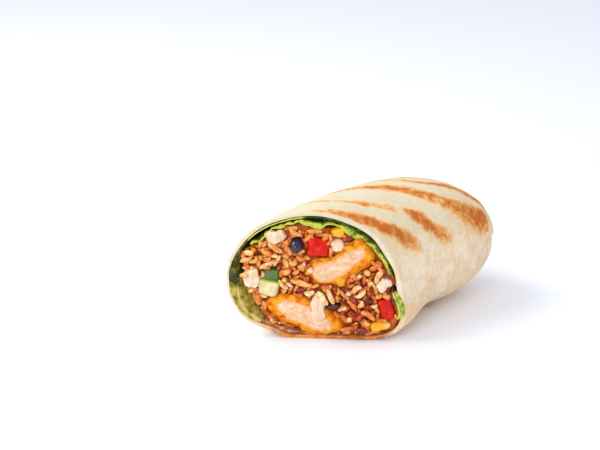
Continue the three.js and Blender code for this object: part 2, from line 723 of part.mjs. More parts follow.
const toppings = TOPPINGS.map((spec, index) => {
  const colour = finish(TOPPING_COLOURS[spec.name] ?? KIND_COLOURS[spec.kind]);
  const mesh = toppingMesh(spec, index, colour);
  cutFace.add(mesh);
  return mesh;
});
const beds = toppings.map((mesh, index) => toppingBed(mesh, TOPPINGS[index]));
const strips = [CHICKEN_LOW, CHICKEN_HIGH];

addPiece("tortilla", tortillaSheet(), COLOURS.tortilla);
LEAVES.forEach((leaf) => addPiece(leaf.name, leafSheet(leaf), COLOURS.leaf));
strips.forEach((spec) => addPiece(spec.name, toGeometry(chickenPiece(spec, beds)), COLOURS.chicken));
addPiece("rice", riceHeap(toppings, strips, beds), COLOURS.rice);
wrap.add(cutFace);

export default wrap;
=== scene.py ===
"""Half of a crispy chicken wrap, cut on the slant and laid on its side, dressed for a studio picture.

A grilled flour tortilla is rolled round seasoned rice, two breaded chicken strips, salad leaves and
diced vegetables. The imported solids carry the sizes. This script lays the finished food over them.
Sizes in the classes are millimetres and angles are degrees, and meshes are made in metres. Angles
run round the roll from its right side up over the top, and stations run along it from the cut.
"""

import logging
import math
import random
from dataclasses import dataclass, field
from enum import Enum
from typing import Iterable, Sequence

import bmesh
import bpy
import numpy as np
from mathutils import Matrix, Vector, noise
from numpy.typing import ArrayLike


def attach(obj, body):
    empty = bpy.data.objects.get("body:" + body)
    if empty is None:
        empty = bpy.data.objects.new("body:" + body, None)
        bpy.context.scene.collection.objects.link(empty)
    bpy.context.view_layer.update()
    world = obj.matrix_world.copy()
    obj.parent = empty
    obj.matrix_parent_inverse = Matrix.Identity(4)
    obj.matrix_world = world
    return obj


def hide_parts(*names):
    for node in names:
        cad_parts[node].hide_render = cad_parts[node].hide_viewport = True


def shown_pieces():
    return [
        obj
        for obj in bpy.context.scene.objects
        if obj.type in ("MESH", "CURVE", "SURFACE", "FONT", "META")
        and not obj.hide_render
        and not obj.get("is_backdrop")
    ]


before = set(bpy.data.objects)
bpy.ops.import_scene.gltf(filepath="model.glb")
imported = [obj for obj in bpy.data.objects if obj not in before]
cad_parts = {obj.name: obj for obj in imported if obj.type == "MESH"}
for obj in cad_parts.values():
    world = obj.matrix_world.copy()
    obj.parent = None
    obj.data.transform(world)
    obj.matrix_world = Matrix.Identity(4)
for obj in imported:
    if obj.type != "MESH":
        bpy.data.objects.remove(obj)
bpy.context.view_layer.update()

log = logging.getLogger("wrap")
MM = 0.001
BODY = "root"

Tree = bpy.types.NodeTree
Socket = bpy.types.NodeSocket
Piece = bpy.types.Object
Shape = bmesh.types.BMesh
Array = np.ndarray
Pair = tuple[float, float]
Point = tuple[float, float, float]
Knot = tuple[float, float, float, float]
Shine = dict[str, float | Point]


# ---------------------------------------------------------------- helpers


def linear(hex_colour: str) -> tuple[float, float, float, float]:
    """Turns an sRGB colour into the linear one that shaders take.

    Args:
        hex_colour: A colour such as "#e9dcc6".

    Returns:
        Linear red, green, blue and an alpha of 1.
    """
    parts = [int(hex_colour[i : i + 2], 16) / 255 for i in (1, 3, 5)]
    red, green, blue = (c / 12.92 if c <= 0.04045 else ((c + 0.055) / 1.055) ** 2.4 for c in parts)
    return red, green, blue, 1.0


def per_mm(size: float) -> float:
    """Gives the texture scale, per metre, of a pattern whose features are this many mm wide."""
    return 1.0 / (size * MM)


def smooth(low: float, high: float, value: Array) -> Array:
    """Rises smoothly from 0 at low to 1 at high, or falls where low is more than high."""
    t = np.clip((np.asarray(value, float) - low) / (high - low), 0, 1)
    return t * t * (3 - 2 * t)


def rumple(points: Array, size: float, seed: float, octaves: int = 3) -> Array:
    """Gives smooth random heights at points, the same ones for the same seed.

    Args:
        points: Places in mm, with x, y and z along the last axis.
        size: Width of the largest bumps, in mm.
        seed: Any number. Each one gives other bumps.
        octaves: How many finer layers of bumps there are.

    Returns:
        Heights from about -1 to 1, without the last axis.
    """
    flat = points.reshape(-1, 3) / size + seed * 17.3
    heights = [noise.fractal(Vector(p), 1.0, 2.0, octaves) for p in flat]
    return np.array(heights).reshape(points.shape[:-1])


def between(a: Array, b: float) -> Array:
    """Gives the shortest way round from angle b to angle a, from -180 to 180."""
    return np.mod(np.asarray(a, float) - b + 180, 360) - 180


@dataclass
class Palette:
    """The nodes of one material."""

    tree: Tree  # The material's node tree.
    place: Socket = field(init=False)  # Object coordinates, in which its patterns are laid.

    def __post_init__(self) -> None:
        """Starts with the coordinates."""
        self.place = self.add("TexCoord", out="Object")

    def add(
        self, kind: str, settings: dict | None = None, links: dict | None = None, out: str | int = 0
    ) -> Socket:
        """Adds a shader node with its settings and links.

        Args:
            kind: Blender's name for the type of node, without "ShaderNode".
            settings: Values of the node's properties or input sockets, with colours in hex. "stops"
                gives a ramp's places and colours, and "span" the range that is mapped, and to what.
            links: Output sockets to plug in, by the name or number of the input. Without them, a
                node that takes a place gets the coordinates.
            out: Name or number of the output that is wanted.

        Returns:
            That output.
        """
        node = self.tree.nodes.new("ShaderNode" + kind)
        for name, value in (settings or {}).items():
            if name == "stops":
                ramp = node.color_ramp.elements
                while len(ramp) < len(value):
                    ramp.new(1.0)
                for stop, (place, colour) in zip(ramp, value):
                    stop.position = place
                    stop.color = linear(colour)
            elif name == "span":
                for end, number in zip(("From Min", "From Max", "To Min", "To Max"), value):
                    node.inputs[end].default_value = number
            elif hasattr(node, str(name)):
                setattr(node, name, value)
            else:
                node.inputs[name].default_value = linear(value) if isinstance(value, str) else value
        if links is None:
            links = {"Vector": self.place} if "Vector" in node.inputs else {}
        for name, output in links.items():
            self.tree.links.new(output, node.inputs[name])
        return node.outputs[out]


# The colour mix's sockets go by number, because the node's kinds of mix share their names.
RGBA = {"data_type": "RGBA"}
MIX_FACTOR, MIX_A, MIX_B, MIX_RESULT = 0, 6, 7, 2


def sheet_mesh(points: Array, closed: bool = False) -> Shape:
    """Lays a grid of squares over rows and columns of points.

    Args:
        points: Places in mm, as rows x columns x 3.
        closed: Whether it closes where the last column lies on the first, and where the first and
            last rows are single points.

    Returns:
        A bmesh in metres, whose "row" and "column" say where on the grid each vertex was.
    """
    rows, columns = points.shape[:2]
    sheet = bmesh.new()
    bmesh.ops.create_grid(sheet, x_segments=columns - 1, y_segments=rows - 1, size=1.0)
    of_row, of_column = (sheet.verts.layers.float.new(name) for name in ("row", "column"))
    for vertex in sheet.verts:
        column = round((vertex.co.x + 1) / 2 * (columns - 1))
        row = round((vertex.co.y + 1) / 2 * (rows - 1))
        vertex.co = Vector(points[row, column]) * MM
        vertex[of_row], vertex[of_column] = row, column
    if closed:
        bmesh.ops.remove_doubles(sheet, verts=sheet.verts, dist=0.004 * MM)
    return sheet


def modified(shape: Shape, kind: str, **settings: object) -> Shape:
    """Puts a modifier on a shape and applies it.

    Args:
        shape: The shape, in metres, which is freed.
        kind: Blender's name for the type of modifier.
        settings: The modifier's settings.

    Returns:
        The new shape.
    """
    bmesh.ops.recalc_face_normals(shape, faces=shape.faces)
    data = bpy.data.meshes.new("blank")
    shape.to_mesh(data)
    shape.free()
    blank = bpy.data.objects.new("blank", data)
    bpy.context.scene.collection.objects.link(blank)
    modifier = blank.modifiers.new("change", kind)
    for name, value in settings.items():
        setattr(modifier, name, value)
    changed = bmesh.new()
    changed.from_object(blank, bpy.context.evaluated_depsgraph_get())
    bpy.data.objects.remove(blank)
    bpy.data.meshes.remove(data)
    return changed


def thickened(sheet: Shape, thickness: float) -> Shape:
    """Gives an open sheet this thickness in mm, half to either side, and closes its edges."""
    return modified(sheet, "SOLIDIFY", thickness=thickness * MM, offset=0.0)


def signed_distance(points: Array, outline: Array) -> Array:
    """Gives how far inside a closed outline points lie. Outside, it is less than 0.

    Args:
        points: Points, as rows of across and up.
        outline: The outline's corners, as rows of across and up.

    Returns:
        Distances in mm.
    """
    start, end = outline, np.roll(outline, -1, axis=0)
    side = end - start
    away = points[:, None, :] - start[None]
    t = np.clip((away * side).sum(-1) / (side**2).sum(-1), 0, 1)
    distance = np.linalg.norm(away - t[..., None] * side, axis=-1).min(1)
    above = (start[:, 1] > points[:, 1:2]) != (end[:, 1] > points[:, 1:2])
    rise = np.where(side[:, 1] == 0, 1e-9, side[:, 1])
    crossing = start[:, 0] + (points[:, 1:2] - start[:, 1]) * side[:, 0] / rise
    inside = ((points[:, 0:1] < crossing) & above).sum(1) % 2 == 1
    return np.where(inside, distance, -distance)


def finish_piece(
    name: str,
    mesh: Shape | bpy.types.Mesh,
    material: bpy.types.Material,
    replaces: Sequence[str],
) -> Piece:
    """Turns a mesh into a finished piece of the wrap.

    Args:
        name: Name of the piece.
        mesh: Its mesh in metres, in the wrap's own frame.
        material: Its material.
        replaces: Solids that it stands for.

    Returns:
        The new object.
    """
    if isinstance(mesh, Shape):
        bmesh.ops.recalc_face_normals(mesh, faces=mesh.faces)
        data = bpy.data.meshes.new(name)
        mesh.to_mesh(data)
        mesh.free()
    else:
        data = mesh
    data.polygons.foreach_set("use_smooth", [True] * len(data.polygons))
    data.materials.append(material)
    piece = bpy.data.objects.new(name, data)
    bpy.context.scene.collection.objects.link(piece)
    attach(piece, BODY)
    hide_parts(*replaces)
    log.info("%s: %d faces", name, len(data.polygons))
    return piece


def name_values(piece: Piece, name: str, values: Array) -> None:
    """Stores a number for each vertex of a piece under this name, for its material to read."""
    layer = piece.data.attributes.new(name, "FLOAT", "POINT")
    layer.data.foreach_set("value", np.asarray(values, np.float32).ravel())


def values_of(piece: Piece, name: str) -> Array:
    """Reads the number that is stored for each vertex.

    Args:
        piece: The piece.
        name: Name of the attribute.

    Returns:
        One number for each vertex.
    """
    values = np.empty(len(piece.data.vertices), np.float32)
    piece.data.attributes[name].data.foreach_get("value", values)
    return values


def vertices_mm(piece: Piece) -> Array:
    """Gives where a piece's vertices are.

    Args:
        piece: The piece.

    Returns:
        Places in mm, as rows of x, y and z.
    """
    places = np.empty(len(piece.data.vertices) * 3, np.float32)
    piece.data.vertices.foreach_get("co", places)
    return places.reshape(-1, 3) / MM


# ---------------------------------------------------------------- the wrap's form


@dataclass(frozen=True)
class CutPlane:
    """The slanted cut through the wrap."""

    middle: Point = (3.05, -37.77, 29.0)  # The middle of the cut.
    slant: float = 39.0  # How far it is turned from square across the roll.
    lean: float = 4.0  # How far it leans back.

    @property
    def out(self) -> Array:
        """The direction straight out of the cut."""
        slant, lean = math.radians(self.slant), math.radians(self.lean)
        level = math.cos(lean)
        return np.array([math.sin(slant) * level, -math.cos(slant) * level, math.sin(lean)])

    @property
    def across(self) -> Array:
        """The direction to the right along the cut."""
        slant = math.radians(self.slant)
        return np.array([math.cos(slant), math.sin(slant), 0.0])

    @property
    def up(self) -> Array:
        """The direction up the cut."""
        return np.cross(self.out, self.across)

    def place(self, points: Array) -> Array:
        """Takes points from the cut's own frame, across, up and out, to the wrap's."""
        return np.asarray(points, float) @ np.array([self.across, self.up, self.out]) + self.middle

    def read(self, points: Array) -> Array:
        """Takes points from the wrap's frame to the cut's own, across, up and out."""
        return (np.asarray(points) - self.middle) @ np.array([self.across, self.up, self.out]).T


@dataclass(frozen=True)
class Bulge:
    """A place where the squeezed sheet leaves the even oval near the cut."""

    angle: float  # Where it is round the roll.
    spread: float  # How wide it is, in degrees.
    height: float  # How far it stands out.
    fade: float  # How far back along the roll it fades.


@dataclass(frozen=True)
class Roll:
    """The outside form of the rolled tortilla."""

    cut: CutPlane = CutPlane()  # The slanted cut that ends it.
    length: float = 101.0  # From the middle of the cut to the folded end.
    half_width: Point = (32.3, 34.2, 32.5)  # Half the width at the cut, half way and at the end.
    half_height: float = 29.5  # Half the height.
    pressed_flat: float = 1.6  # How much of the underside is pressed flat.
    squareness: float = 2.15  # 2 for an ellipse, and more for a boxier oval.
    sway: Point = (-4.0, -3.3, 9.0)  # Sideways drift of the middle at the cut, half way and at the end.
    end_round: float = 45.0  # Length over which the end closes.
    end_power: float = 2.28  # How full the closed end is.
    # Where the sheet leaves the even oval.
    bulges: tuple[Bulge, ...] = (
        Bulge(-37, 21, 8.6, 19),
        Bulge(-116, 19, -2.4, 40),
        Bulge(26, 17, -1.6, 45),
        Bulge(86, 18, 1.2, 40),
        Bulge(178, 20, 1.4, 40),
    )
    closing_steps: int = 14  # How often the cut's crossing is looked for, a little closer each time.

    @staticmethod
    def _through(values: Point, share: Array) -> Array:
        """Gives the smooth curve through three values.

        Args:
            values: Its values at 0, a half and 1.
            share: Where it is read.

        Returns:
            Values, one for each share.
        """
        first, middle, last = values
        return (
            first * 2 * (share - 0.5) * (share - 1)
            - middle * 4 * share * (share - 1)
            + last * 2 * share * (share - 0.5)
        )

    def _squared(self, value: Array) -> Array:
        """Fills out the corners of a cosine or sine."""
        return np.sign(value) * np.abs(value) ** (2 / self.squareness)

    def point(
        self, angle: ArrayLike, station: ArrayLike, inset: ArrayLike, behind: ArrayLike
    ) -> Array:
        """Gives points of the roll.

        Args:
            angle: Angles round it.
            station: Stations along it.
            inset: How far inside its skin they lie.
            behind: How far behind the cut they lie, for the bulges.

        Returns:
            Points in mm, with x, y and z along the last axis.
        """
        angle, station, inset, behind = np.broadcast_arrays(angle, station, inset, behind)
        share = station / self.length
        around = self.end_round - inset
        near_end = np.clip((station - (self.length - inset - around)) / around, 0, 1)
        full = (1 - near_end**self.end_power) ** (1 / self.end_power)
        width = (self._through(self.half_width, share) - inset) * full
        height = (self.half_height - inset) * full
        bulge = sum(
            b.height * np.exp(-((between(angle, b.angle) / b.spread) ** 2) - (behind / b.fade) ** 2)
            for b in self.bulges
        )
        cos, sin = np.cos(np.radians(angle)), np.sin(np.radians(angle))
        middle = self.half_height - self.pressed_flat
        x = self._through(self.sway, share) + width * self._squared(cos) + bulge * full * cos
        z = middle + height * self._squared(sin) + bulge * full * sin
        return np.stack(
            [self.cut.middle[0] + x, self.cut.middle[1] + station, np.maximum(z, inset)], axis=-1
        )

    def station_at_cut(self, angle: ArrayLike, inset: ArrayLike = 0.0, recess: ArrayLike = 0.0) -> Array:
        """Finds the stations where the cut crosses lines along the roll.

        Args:
            angle: Angles of the lines.
            inset: How far inside the skin they lie.
            recess: How far back from the cut the crossing is.

        Returns:
            Stations.
        """
        out = self.cut.out
        station = np.zeros(np.broadcast(angle, inset, recess).shape)
        for _ in range(self.closing_steps):
            away = self.point(angle, station, inset, 0.0) - self.cut.middle
            station = (away[..., 0] * out[0] + away[..., 2] * out[2] + recess) / -out[1]
        return station

    def along(
        self, angle: ArrayLike, share: ArrayLike, inset: ArrayLike = 0.0, recess: ArrayLike = 0.0
    ) -> Array:
        """Gives points at a share of the way from the cut to the closed end.

        Args:
            angle: Angles round the roll.
            share: Shares, from 0 at the cut to 1.
            inset: How far inside the skin they lie.
            recess: How far back from the cut a share of 0 is.

        Returns:
            Points in mm, with x, y and z along the last axis.
        """
        start = self.station_at_cut(angle, inset, recess)
        station = start + (self.length - np.asarray(inset) - start) * share
        return self.point(angle, station, inset, station - self.station_at_cut(angle))


ROLL = Roll()
CUT = ROLL.cut


# ---------------------------------------------------------------- finishes


class Tone(Enum):
    """The tones that loose food comes in, as tables of places and colours."""

    RICE = (
        (0.0, "#a8380f"), (0.22, "#cc5a18"), (0.42, "#e07a2a"), (0.62, "#ea9a44"), (0.82, "#f0b86c"),
        (1.0, "#f8dcae"),
    )
    CORE = ((0.0, "#a8380c"), (0.5, "#d6661a"), (1.0, "#ee9638"))
    MASH = ((0.0, "#a8360c"), (0.5, "#dc7220"), (1.0, "#f2ac4c"))
    QUINOA = ((0.0, "#4a0a08"), (0.5, "#741612"), (1.0, "#a83826"))
    CRUMB = ((0.0, "#e48412"), (0.5, "#f7ab2a"), (1.0, "#ffd468"))
    RELISH = ((0.0, "#641006"), (0.45, "#b42808"), (1.0, "#ec5a1c"))
    MAROON = ((0.0, "#2c0a0c"), (0.6, "#4e1416"), (1.0, "#7c2c26"))
    BEAN = ((0.0, "#121120"), (0.6, "#222142"), (1.0, "#4c4e7c"))
    CORN = ((0.0, "#e08a06"), (0.45, "#f2b40c"), (1.0, "#fae6a0"))
    CHEESE = ((0.0, "#dc9c68"), (0.45, "#eac4a0"), (1.0, "#f6e2c8"))


def lit_through(weight: float, radius: Point, depth: float) -> Shine:
    """Gives the shader's constants for light inside food: its weight, spread by colour and depth."""
    return {"Subsurface Weight": weight, "Subsurface Radius": radius, "Subsurface Scale": depth * MM}


@dataclass(frozen=True)
class Finish:
    """What a surface is made of. Each kind paints itself and sets its own shine."""

    name: str  # Name of the material.

    def paint(self, on: Palette) -> tuple[Socket, Socket]:
        """Lays the nodes of the surface's colour and fine relief, and gives the colour and normal."""
        raise NotImplementedError

    def shine(self) -> Shine:
        """Gives the shader's constants, by the names of its sockets."""
        raise NotImplementedError

    def material(self) -> bpy.types.Material:
        """Builds the material.

        Returns:
            The new material.
        """
        material = bpy.data.materials.new(self.name)
        material.use_nodes = True
        tree = material.node_tree
        shader = tree.nodes["Principled BSDF"]
        for socket, value in self.shine().items():
            shader.inputs[socket].default_value = value
        colour, normal = self.paint(Palette(tree))
        tree.links.new(colour, shader.inputs["Base Color"])
        tree.links.new(normal, shader.inputs["Normal"])
        return material


@dataclass(frozen=True)
class ToastedFlatbread(Finish):
    """Wheat flour tortilla off a ribbed press: dry, matt, cream, with toasted lines and bran flecks."""

    name: str = "toasted_flour_tortilla"
    cream: str = "#f0dcc0"  # The bread's own colour.
    shade: str = "#e6d1b1"  # Its darker, thinner places.
    blush: str = "#e9c49a"  # Faint browning all over.
    dry: str = "#d5cdae"  # Painted shade: a grey laid over the top of the bread.
    fleck: str = "#94876a"  # Bran flecks.
    toast_edge: str = "#f0c98e"  # The light brown border of a press mark.
    toast: str = "#e0984a"  # The brown of a press mark.
    toast_core: str = "#c36416"  # Its darkest spots.
    sauce: str = "#df8f3c"  # Where sauce has soaked into the lip.
    sauce_deep: str = "#b0601e"  # Its wettest streaks.

    def _bread(self, on: Palette, spread: Socket) -> Socket:
        """Lays the untoasted bread: darker towards the bottom, greyed on top by painted shade, and flecked
        with bran.

        Args:
            on: The material's nodes.
            spread: A soft noise, high where the bran lies.

        Returns:
            The colour.
        """
        cloudy = on.add("TexNoise", {"Scale": per_mm(6), "Detail": 9.0, "Roughness": 0.78})
        height = on.add("SeparateXYZ", out="Z")
        # The bread is made darker towards the bottom.
        low = on.add("MapRange", {"span": (8 * MM, 36 * MM, -0.085, 0.01)}, {"Value": height})
        darker_low_down = on.add("Math", {"operation": "ADD"}, {0: cloudy, 1: low})
        stops = [(0.38, self.blush), (0.46, self.shade), (0.54, self.cream)]
        base = on.add("ValToRGB", {"stops": stops}, {"Fac": darker_low_down})
        # Painted shade: the bread is greyed towards its top, where the key light would make it brightest.
        high = on.add("MapRange", {"span": (38 * MM, 55 * MM, 0.0, 0.75)}, {"Value": height})
        top_painted_shade = on.add("Mix", {**RGBA, MIX_B: self.dry}, {MIX_FACTOR: high, MIX_A: base}, MIX_RESULT)
        cells = on.add("TexVoronoi", {"Scale": per_mm(1.7)})
        dotted = on.add("MapRange", {"span": (0.08, 0.2, 0.6, 0.0)}, {"Value": cells})
        patchy = on.add("MapRange", {"span": (0.42, 0.6)}, {"Value": spread})
        flecked = on.add("Math", {"operation": "MULTIPLY"}, {0: dotted, 1: patchy})
        bran = {**RGBA, MIX_B: self.fleck}
        return on.add("Mix", bran, {MIX_FACTOR: flecked, MIX_A: top_painted_shade}, MIX_RESULT)

    def _toasted(self, on: Palette, bread: Socket) -> Socket:
        """Lays the press marks over the bread, broken up at their edges and inside.

        Args:
            on: The material's nodes.
            bread: The colour of the bread.

        Returns:
            The colour.
        """
        pressed = on.add("Attribute", {"attribute_name": "toast"}, out="Fac")
        ragged = on.add("TexNoise", {"Scale": per_mm(2.8), "Detail": 8.0, "Roughness": 0.68})
        wander = on.add("MapRange", {"span": (0.34, 0.66, 0.3, 1.4), "clamp": False}, {"Value": ragged})
        mark = on.add("Math", {"operation": "MULTIPLY", "use_clamp": True}, {0: pressed, 1: wander})
        stops = [(0.12, self.toast_edge), (0.5, self.toast), (0.95, self.toast_core)]
        brown = on.add("ValToRGB", {"stops": stops}, {"Fac": mark})
        cover = on.add("MapRange", {"span": (0.0, 0.42, 0.0, 0.97)}, {"Value": mark})
        return on.add("Mix", RGBA, {MIX_FACTOR: cover, MIX_A: bread, MIX_B: brown}, MIX_RESULT)

    def paint(self, on: Palette) -> tuple[Socket, Socket]:
        """Lays the bread, its press marks where "toast" is high, and sauce where "soaked" is.

        Args:
            on: The material's nodes.

        Returns:
            The colour and the normal.
        """
        spread = on.add("TexNoise", {"Scale": per_mm(4), "Detail": 2.0})
        toasted = self._toasted(on, self._bread(on, spread))
        stops = [(0.36, self.sauce_deep), (0.56, self.sauce)]
        stain = on.add("ValToRGB", {"stops": stops}, {"Fac": spread})
        soaked = on.add("Attribute", {"attribute_name": "soaked"}, out="Fac")
        colour = on.add("Mix", RGBA, {MIX_FACTOR: soaked, MIX_A: toasted, MIX_B: stain}, MIX_RESULT)
        blister = on.add("TexNoise", {"Scale": per_mm(2.6), "Detail": 5.0})
        return colour, on.add("Bump", {"Strength": 0.5, "Distance": 0.4 * MM}, {"Height": blister})

    def shine(self) -> Shine:
        """Gives dry, matt bread."""
        return {"Roughness": 0.78, "Specular IOR Level": 0.2, **lit_through(0.2, (1.0, 0.62, 0.36), 1.6)}


@dataclass(frozen=True)
class SoakedFlatbread(Finish):
    """The tortilla's inner end, soft and stained by the sauce: pinkish brown, streaked and damp."""

    name: str = "sauce_soaked_tortilla"
    stain: str = "#ba7240"  # The sauce's stain.
    pale: str = "#dba676"  # Where the bread stays light.
    dark: str = "#8e461e"  # The wettest streaks.

    def paint(self, on: Palette) -> tuple[Socket, Socket]:
        """Lays the streaks.

        Args:
            on: The material's nodes.

        Returns:
            The colour and the normal.
        """
        streaks = on.add("TexNoise", {"Scale": per_mm(3.5), "Detail": 5.0, "Distortion": 0.6})
        stops = [(0.34, self.dark), (0.5, self.stain), (0.64, self.pale)]
        colour = on.add("ValToRGB", {"stops": stops}, {"Fac": streaks})
        return colour, on.add("Bump", {"Strength": 0.4, "Distance": 0.3 * MM}, {"Height": streaks})

    def shine(self) -> Shine:
        """Gives damp bread."""
        return {"Roughness": 0.5, **lit_through(0.2, (1.0, 0.5, 0.3), 1.2)}


@dataclass(frozen=True)
class TonedFood(Finish):
    """Small moist pieces that differ in colour, each by its own "tone" from 0 to 1."""

    tones: Tone  # Their colours.
    mottle: float = 0.16  # How far each piece's own colour wanders.
    mottle_size: float = 1.4  # Width of its patches.
    roughness: float = 0.38  # How matt it is.
    gloss: float = 0.25  # Weight of the wet film over it.
    glow: float = 0.2  # How much light goes through it.
    depth: float = 1.0  # How far light travels in it.
    bump: float = 0.12  # Depth of its fine relief.
    bump_size: float = 0.9  # Width of its fine relief.

    def paint(self, on: Palette) -> tuple[Socket, Socket]:
        """Lays the piece's own tone, with patches of lighter and darker ones.

        Args:
            on: The material's nodes.

        Returns:
            The colour and the normal.
        """
        own = on.add("Attribute", {"attribute_name": "tone"}, out="Fac")
        patchy = on.add("TexNoise", {"Scale": per_mm(self.mottle_size), "Detail": 4.0})
        wander = on.add("MapRange", {"span": (0.25, 0.75, -self.mottle, self.mottle)}, {"Value": patchy})
        mixed = on.add("Math", {"operation": "ADD"}, {0: own, 1: wander})
        colour = on.add("ValToRGB", {"stops": self.tones.value}, {"Fac": mixed})
        grit = on.add("TexNoise", {"Scale": per_mm(self.bump_size), "Detail": 5.0})
        return colour, on.add("Bump", {"Strength": 0.5, "Distance": self.bump * MM}, {"Height": grit})

    def shine(self) -> Shine:
        """Gives moist food under a wet film."""
        return {
            "Roughness": self.roughness, "Specular IOR Level": 0.28, "Coat Weight": self.gloss,
            "Coat Roughness": 0.12, **lit_through(self.glow, (1.0, 0.45, 0.2), self.depth),
        }


@dataclass(frozen=True)
class BreadedChicken(Finish):
    """Fried chicken cut across: a golden, oily crumb crust with pepper specks round pale fibrous meat."""

    name: str = "breaded_chicken"
    gold: str = "#e98b0c"  # The crust's own colour.
    light: str = "#f8b026"  # Its high, dry crumbs.
    deep: str = "#cc5604"  # Its low, oily places.
    brown: str = "#b8540a"  # Its outer skin, where the "rim" attribute is 1.
    speck: str = "#8a4612"  # Specks of spice.
    pale: str = "#e9c29b"  # The meat's own colour.
    pink: str = "#e4b082"  # Its blushes.
    white: str = "#f2d9bf"  # Its driest fibres.
    soaked: str = "#ee9c3a"  # Meat that has taken up the crust's oil.
    fibre_turn: float = 20.0  # Direction of the fibres in the cut, in degrees.

    def _crust(self, on: Palette) -> Socket:
        """Lays the crumbs, the specks of spice and the brown skin.

        Args:
            on: The material's nodes.

        Returns:
            The crust's colour.
        """
        crumbs = on.add("TexNoise", {"Scale": per_mm(3.2), "Detail": 7.0, "Roughness": 0.62})
        stops = [(0.36, self.deep), (0.47, self.gold), (0.6, self.light)]
        base = on.add("ValToRGB", {"stops": stops}, {"Fac": crumbs})
        spice = on.add("TexVoronoi", {"Scale": per_mm(2.8)})
        specks = on.add("MapRange", {"span": (0.08, 0.15, 0.7, 0.0)}, {"Value": spice})
        dark = {**RGBA, MIX_B: self.speck}
        specked = on.add("Mix", dark, {MIX_FACTOR: specks, MIX_A: base}, MIX_RESULT)
        rim = on.add("Attribute", {"attribute_name": "rim"}, out="Fac")
        return on.add("Mix", {**RGBA, MIX_B: self.brown}, {MIX_FACTOR: rim, MIX_A: specked}, MIX_RESULT)

    def paint(self, on: Palette) -> tuple[Socket, Socket]:
        """Lays the crust, and meat where "meat" is high, oily at its ragged edge.

        Args:
            on: The material's nodes.

        Returns:
            The colour and the normal.
        """
        turn = (0.0, math.radians(self.fibre_turn), -math.radians(CUT.slant))
        turned = on.add("Mapping", {"Rotation": turn, "Scale": (0.35, 1.0, 1.0)})
        strands = {"Scale": per_mm(2.0), "Detail": 5.0, "Distortion": 0.4}
        fibres = on.add("TexNoise", strands, {"Vector": turned})
        stops = [(0.3, self.pink), (0.48, self.pale), (0.68, self.white)]
        flesh = on.add("ValToRGB", {"stops": stops}, {"Fac": fibres})
        meat = on.add("Attribute", {"attribute_name": "meat"}, out="Fac")
        ragged = on.add("TexNoise", {"Scale": per_mm(2.4), "Detail": 4.0})
        wander = on.add("MapRange", {"span": (0.3, 0.7, -0.3, 0.3)}, {"Value": ragged})
        edge = on.add("Math", {"operation": "ADD"}, {0: meat, 1: wander})
        dry = on.add("MapRange", {"span": (0.35, 1.0)}, {"Value": edge})
        oiled = on.add("Mix", {**RGBA, MIX_A: self.soaked}, {MIX_FACTOR: dry, MIX_B: flesh}, MIX_RESULT)
        inside = on.add("MapRange", {"span": (0.3, 0.5)}, {"Value": edge})
        layers = {MIX_FACTOR: inside, MIX_A: self._crust(on), MIX_B: oiled}
        colour = on.add("Mix", RGBA, layers, MIX_RESULT)
        grit = on.add("TexNoise", {"Scale": per_mm(0.9), "Detail": 5.0})
        relief = on.add("Mix", {"data_type": "FLOAT"}, {0: inside, 2: grit, 3: fibres})
        return colour, on.add("Bump", {"Strength": 0.6, "Distance": 0.4 * MM}, {"Height": relief})

    def shine(self) -> Shine:
        """Gives oily crumbs and moist meat."""
        return {
            "Roughness": 0.42, "Specular IOR Level": 0.08, "Coat Weight": 0.06, "Coat Roughness": 0.18,
            **lit_through(0.3, (1.0, 0.5, 0.2), 1.5),
        }


@dataclass(frozen=True)
class FreshLeaf(Finish):
    """Salad leaf: waxy and crinkled, bright yellow green at its lit edge and deep green inside, where
    painted shade also darkens it.
    """

    name: str = "salad_leaf"
    deep: str = "#2c370d"  # The leaf's inner green, which also serves as its painted shade.
    mid: str = "#73891b"  # Between the two.
    bright: str = "#d3d853"  # Its lit edge, where the "edge" attribute is 1. Lower values give painted shade.
    rib: str = "#d3d982"  # Its pale ribs.

    def paint(self, on: Palette) -> tuple[Socket, Socket]:
        """Lays the greens, brightest where "edge" is high and darker with painted shade where it is low,
        and the net of ribs.

        Args:
            on: The material's nodes.

        Returns:
            The colour and the normal.
        """
        edge = on.add("Attribute", {"attribute_name": "edge"}, out="Fac")
        patches = on.add("TexNoise", {"Scale": per_mm(2.6), "Detail": 6.0})
        wander = on.add("MapRange", {"span": (0.3, 0.7, -0.34, 0.3)}, {"Value": patches})
        mixed = on.add("Math", {"operation": "ADD"}, {0: edge, 1: wander})
        stops = [(0.05, self.deep), (0.42, self.mid), (0.78, self.bright)]
        green = on.add("ValToRGB", {"stops": stops}, {"Fac": mixed})
        veins = on.add("TexVoronoi", {"feature": "SMOOTH_F1", "Scale": per_mm(3.4), "Smoothness": 0.6})
        veined = on.add("MapRange", {"span": (0.5, 0.8, 0.0, 0.16)}, {"Value": veins})
        colour = on.add("Mix", {**RGBA, MIX_B: self.rib}, {MIX_FACTOR: veined, MIX_A: green}, MIX_RESULT)
        return colour, on.add("Bump", {"Strength": 0.5, "Distance": 0.6 * MM}, {"Height": veins})

    def shine(self) -> Shine:
        """Gives a waxy leaf."""
        return {"Roughness": 0.32, "Specular IOR Level": 0.15, **lit_through(0.3, (0.6, 1.0, 0.15), 1.2)}


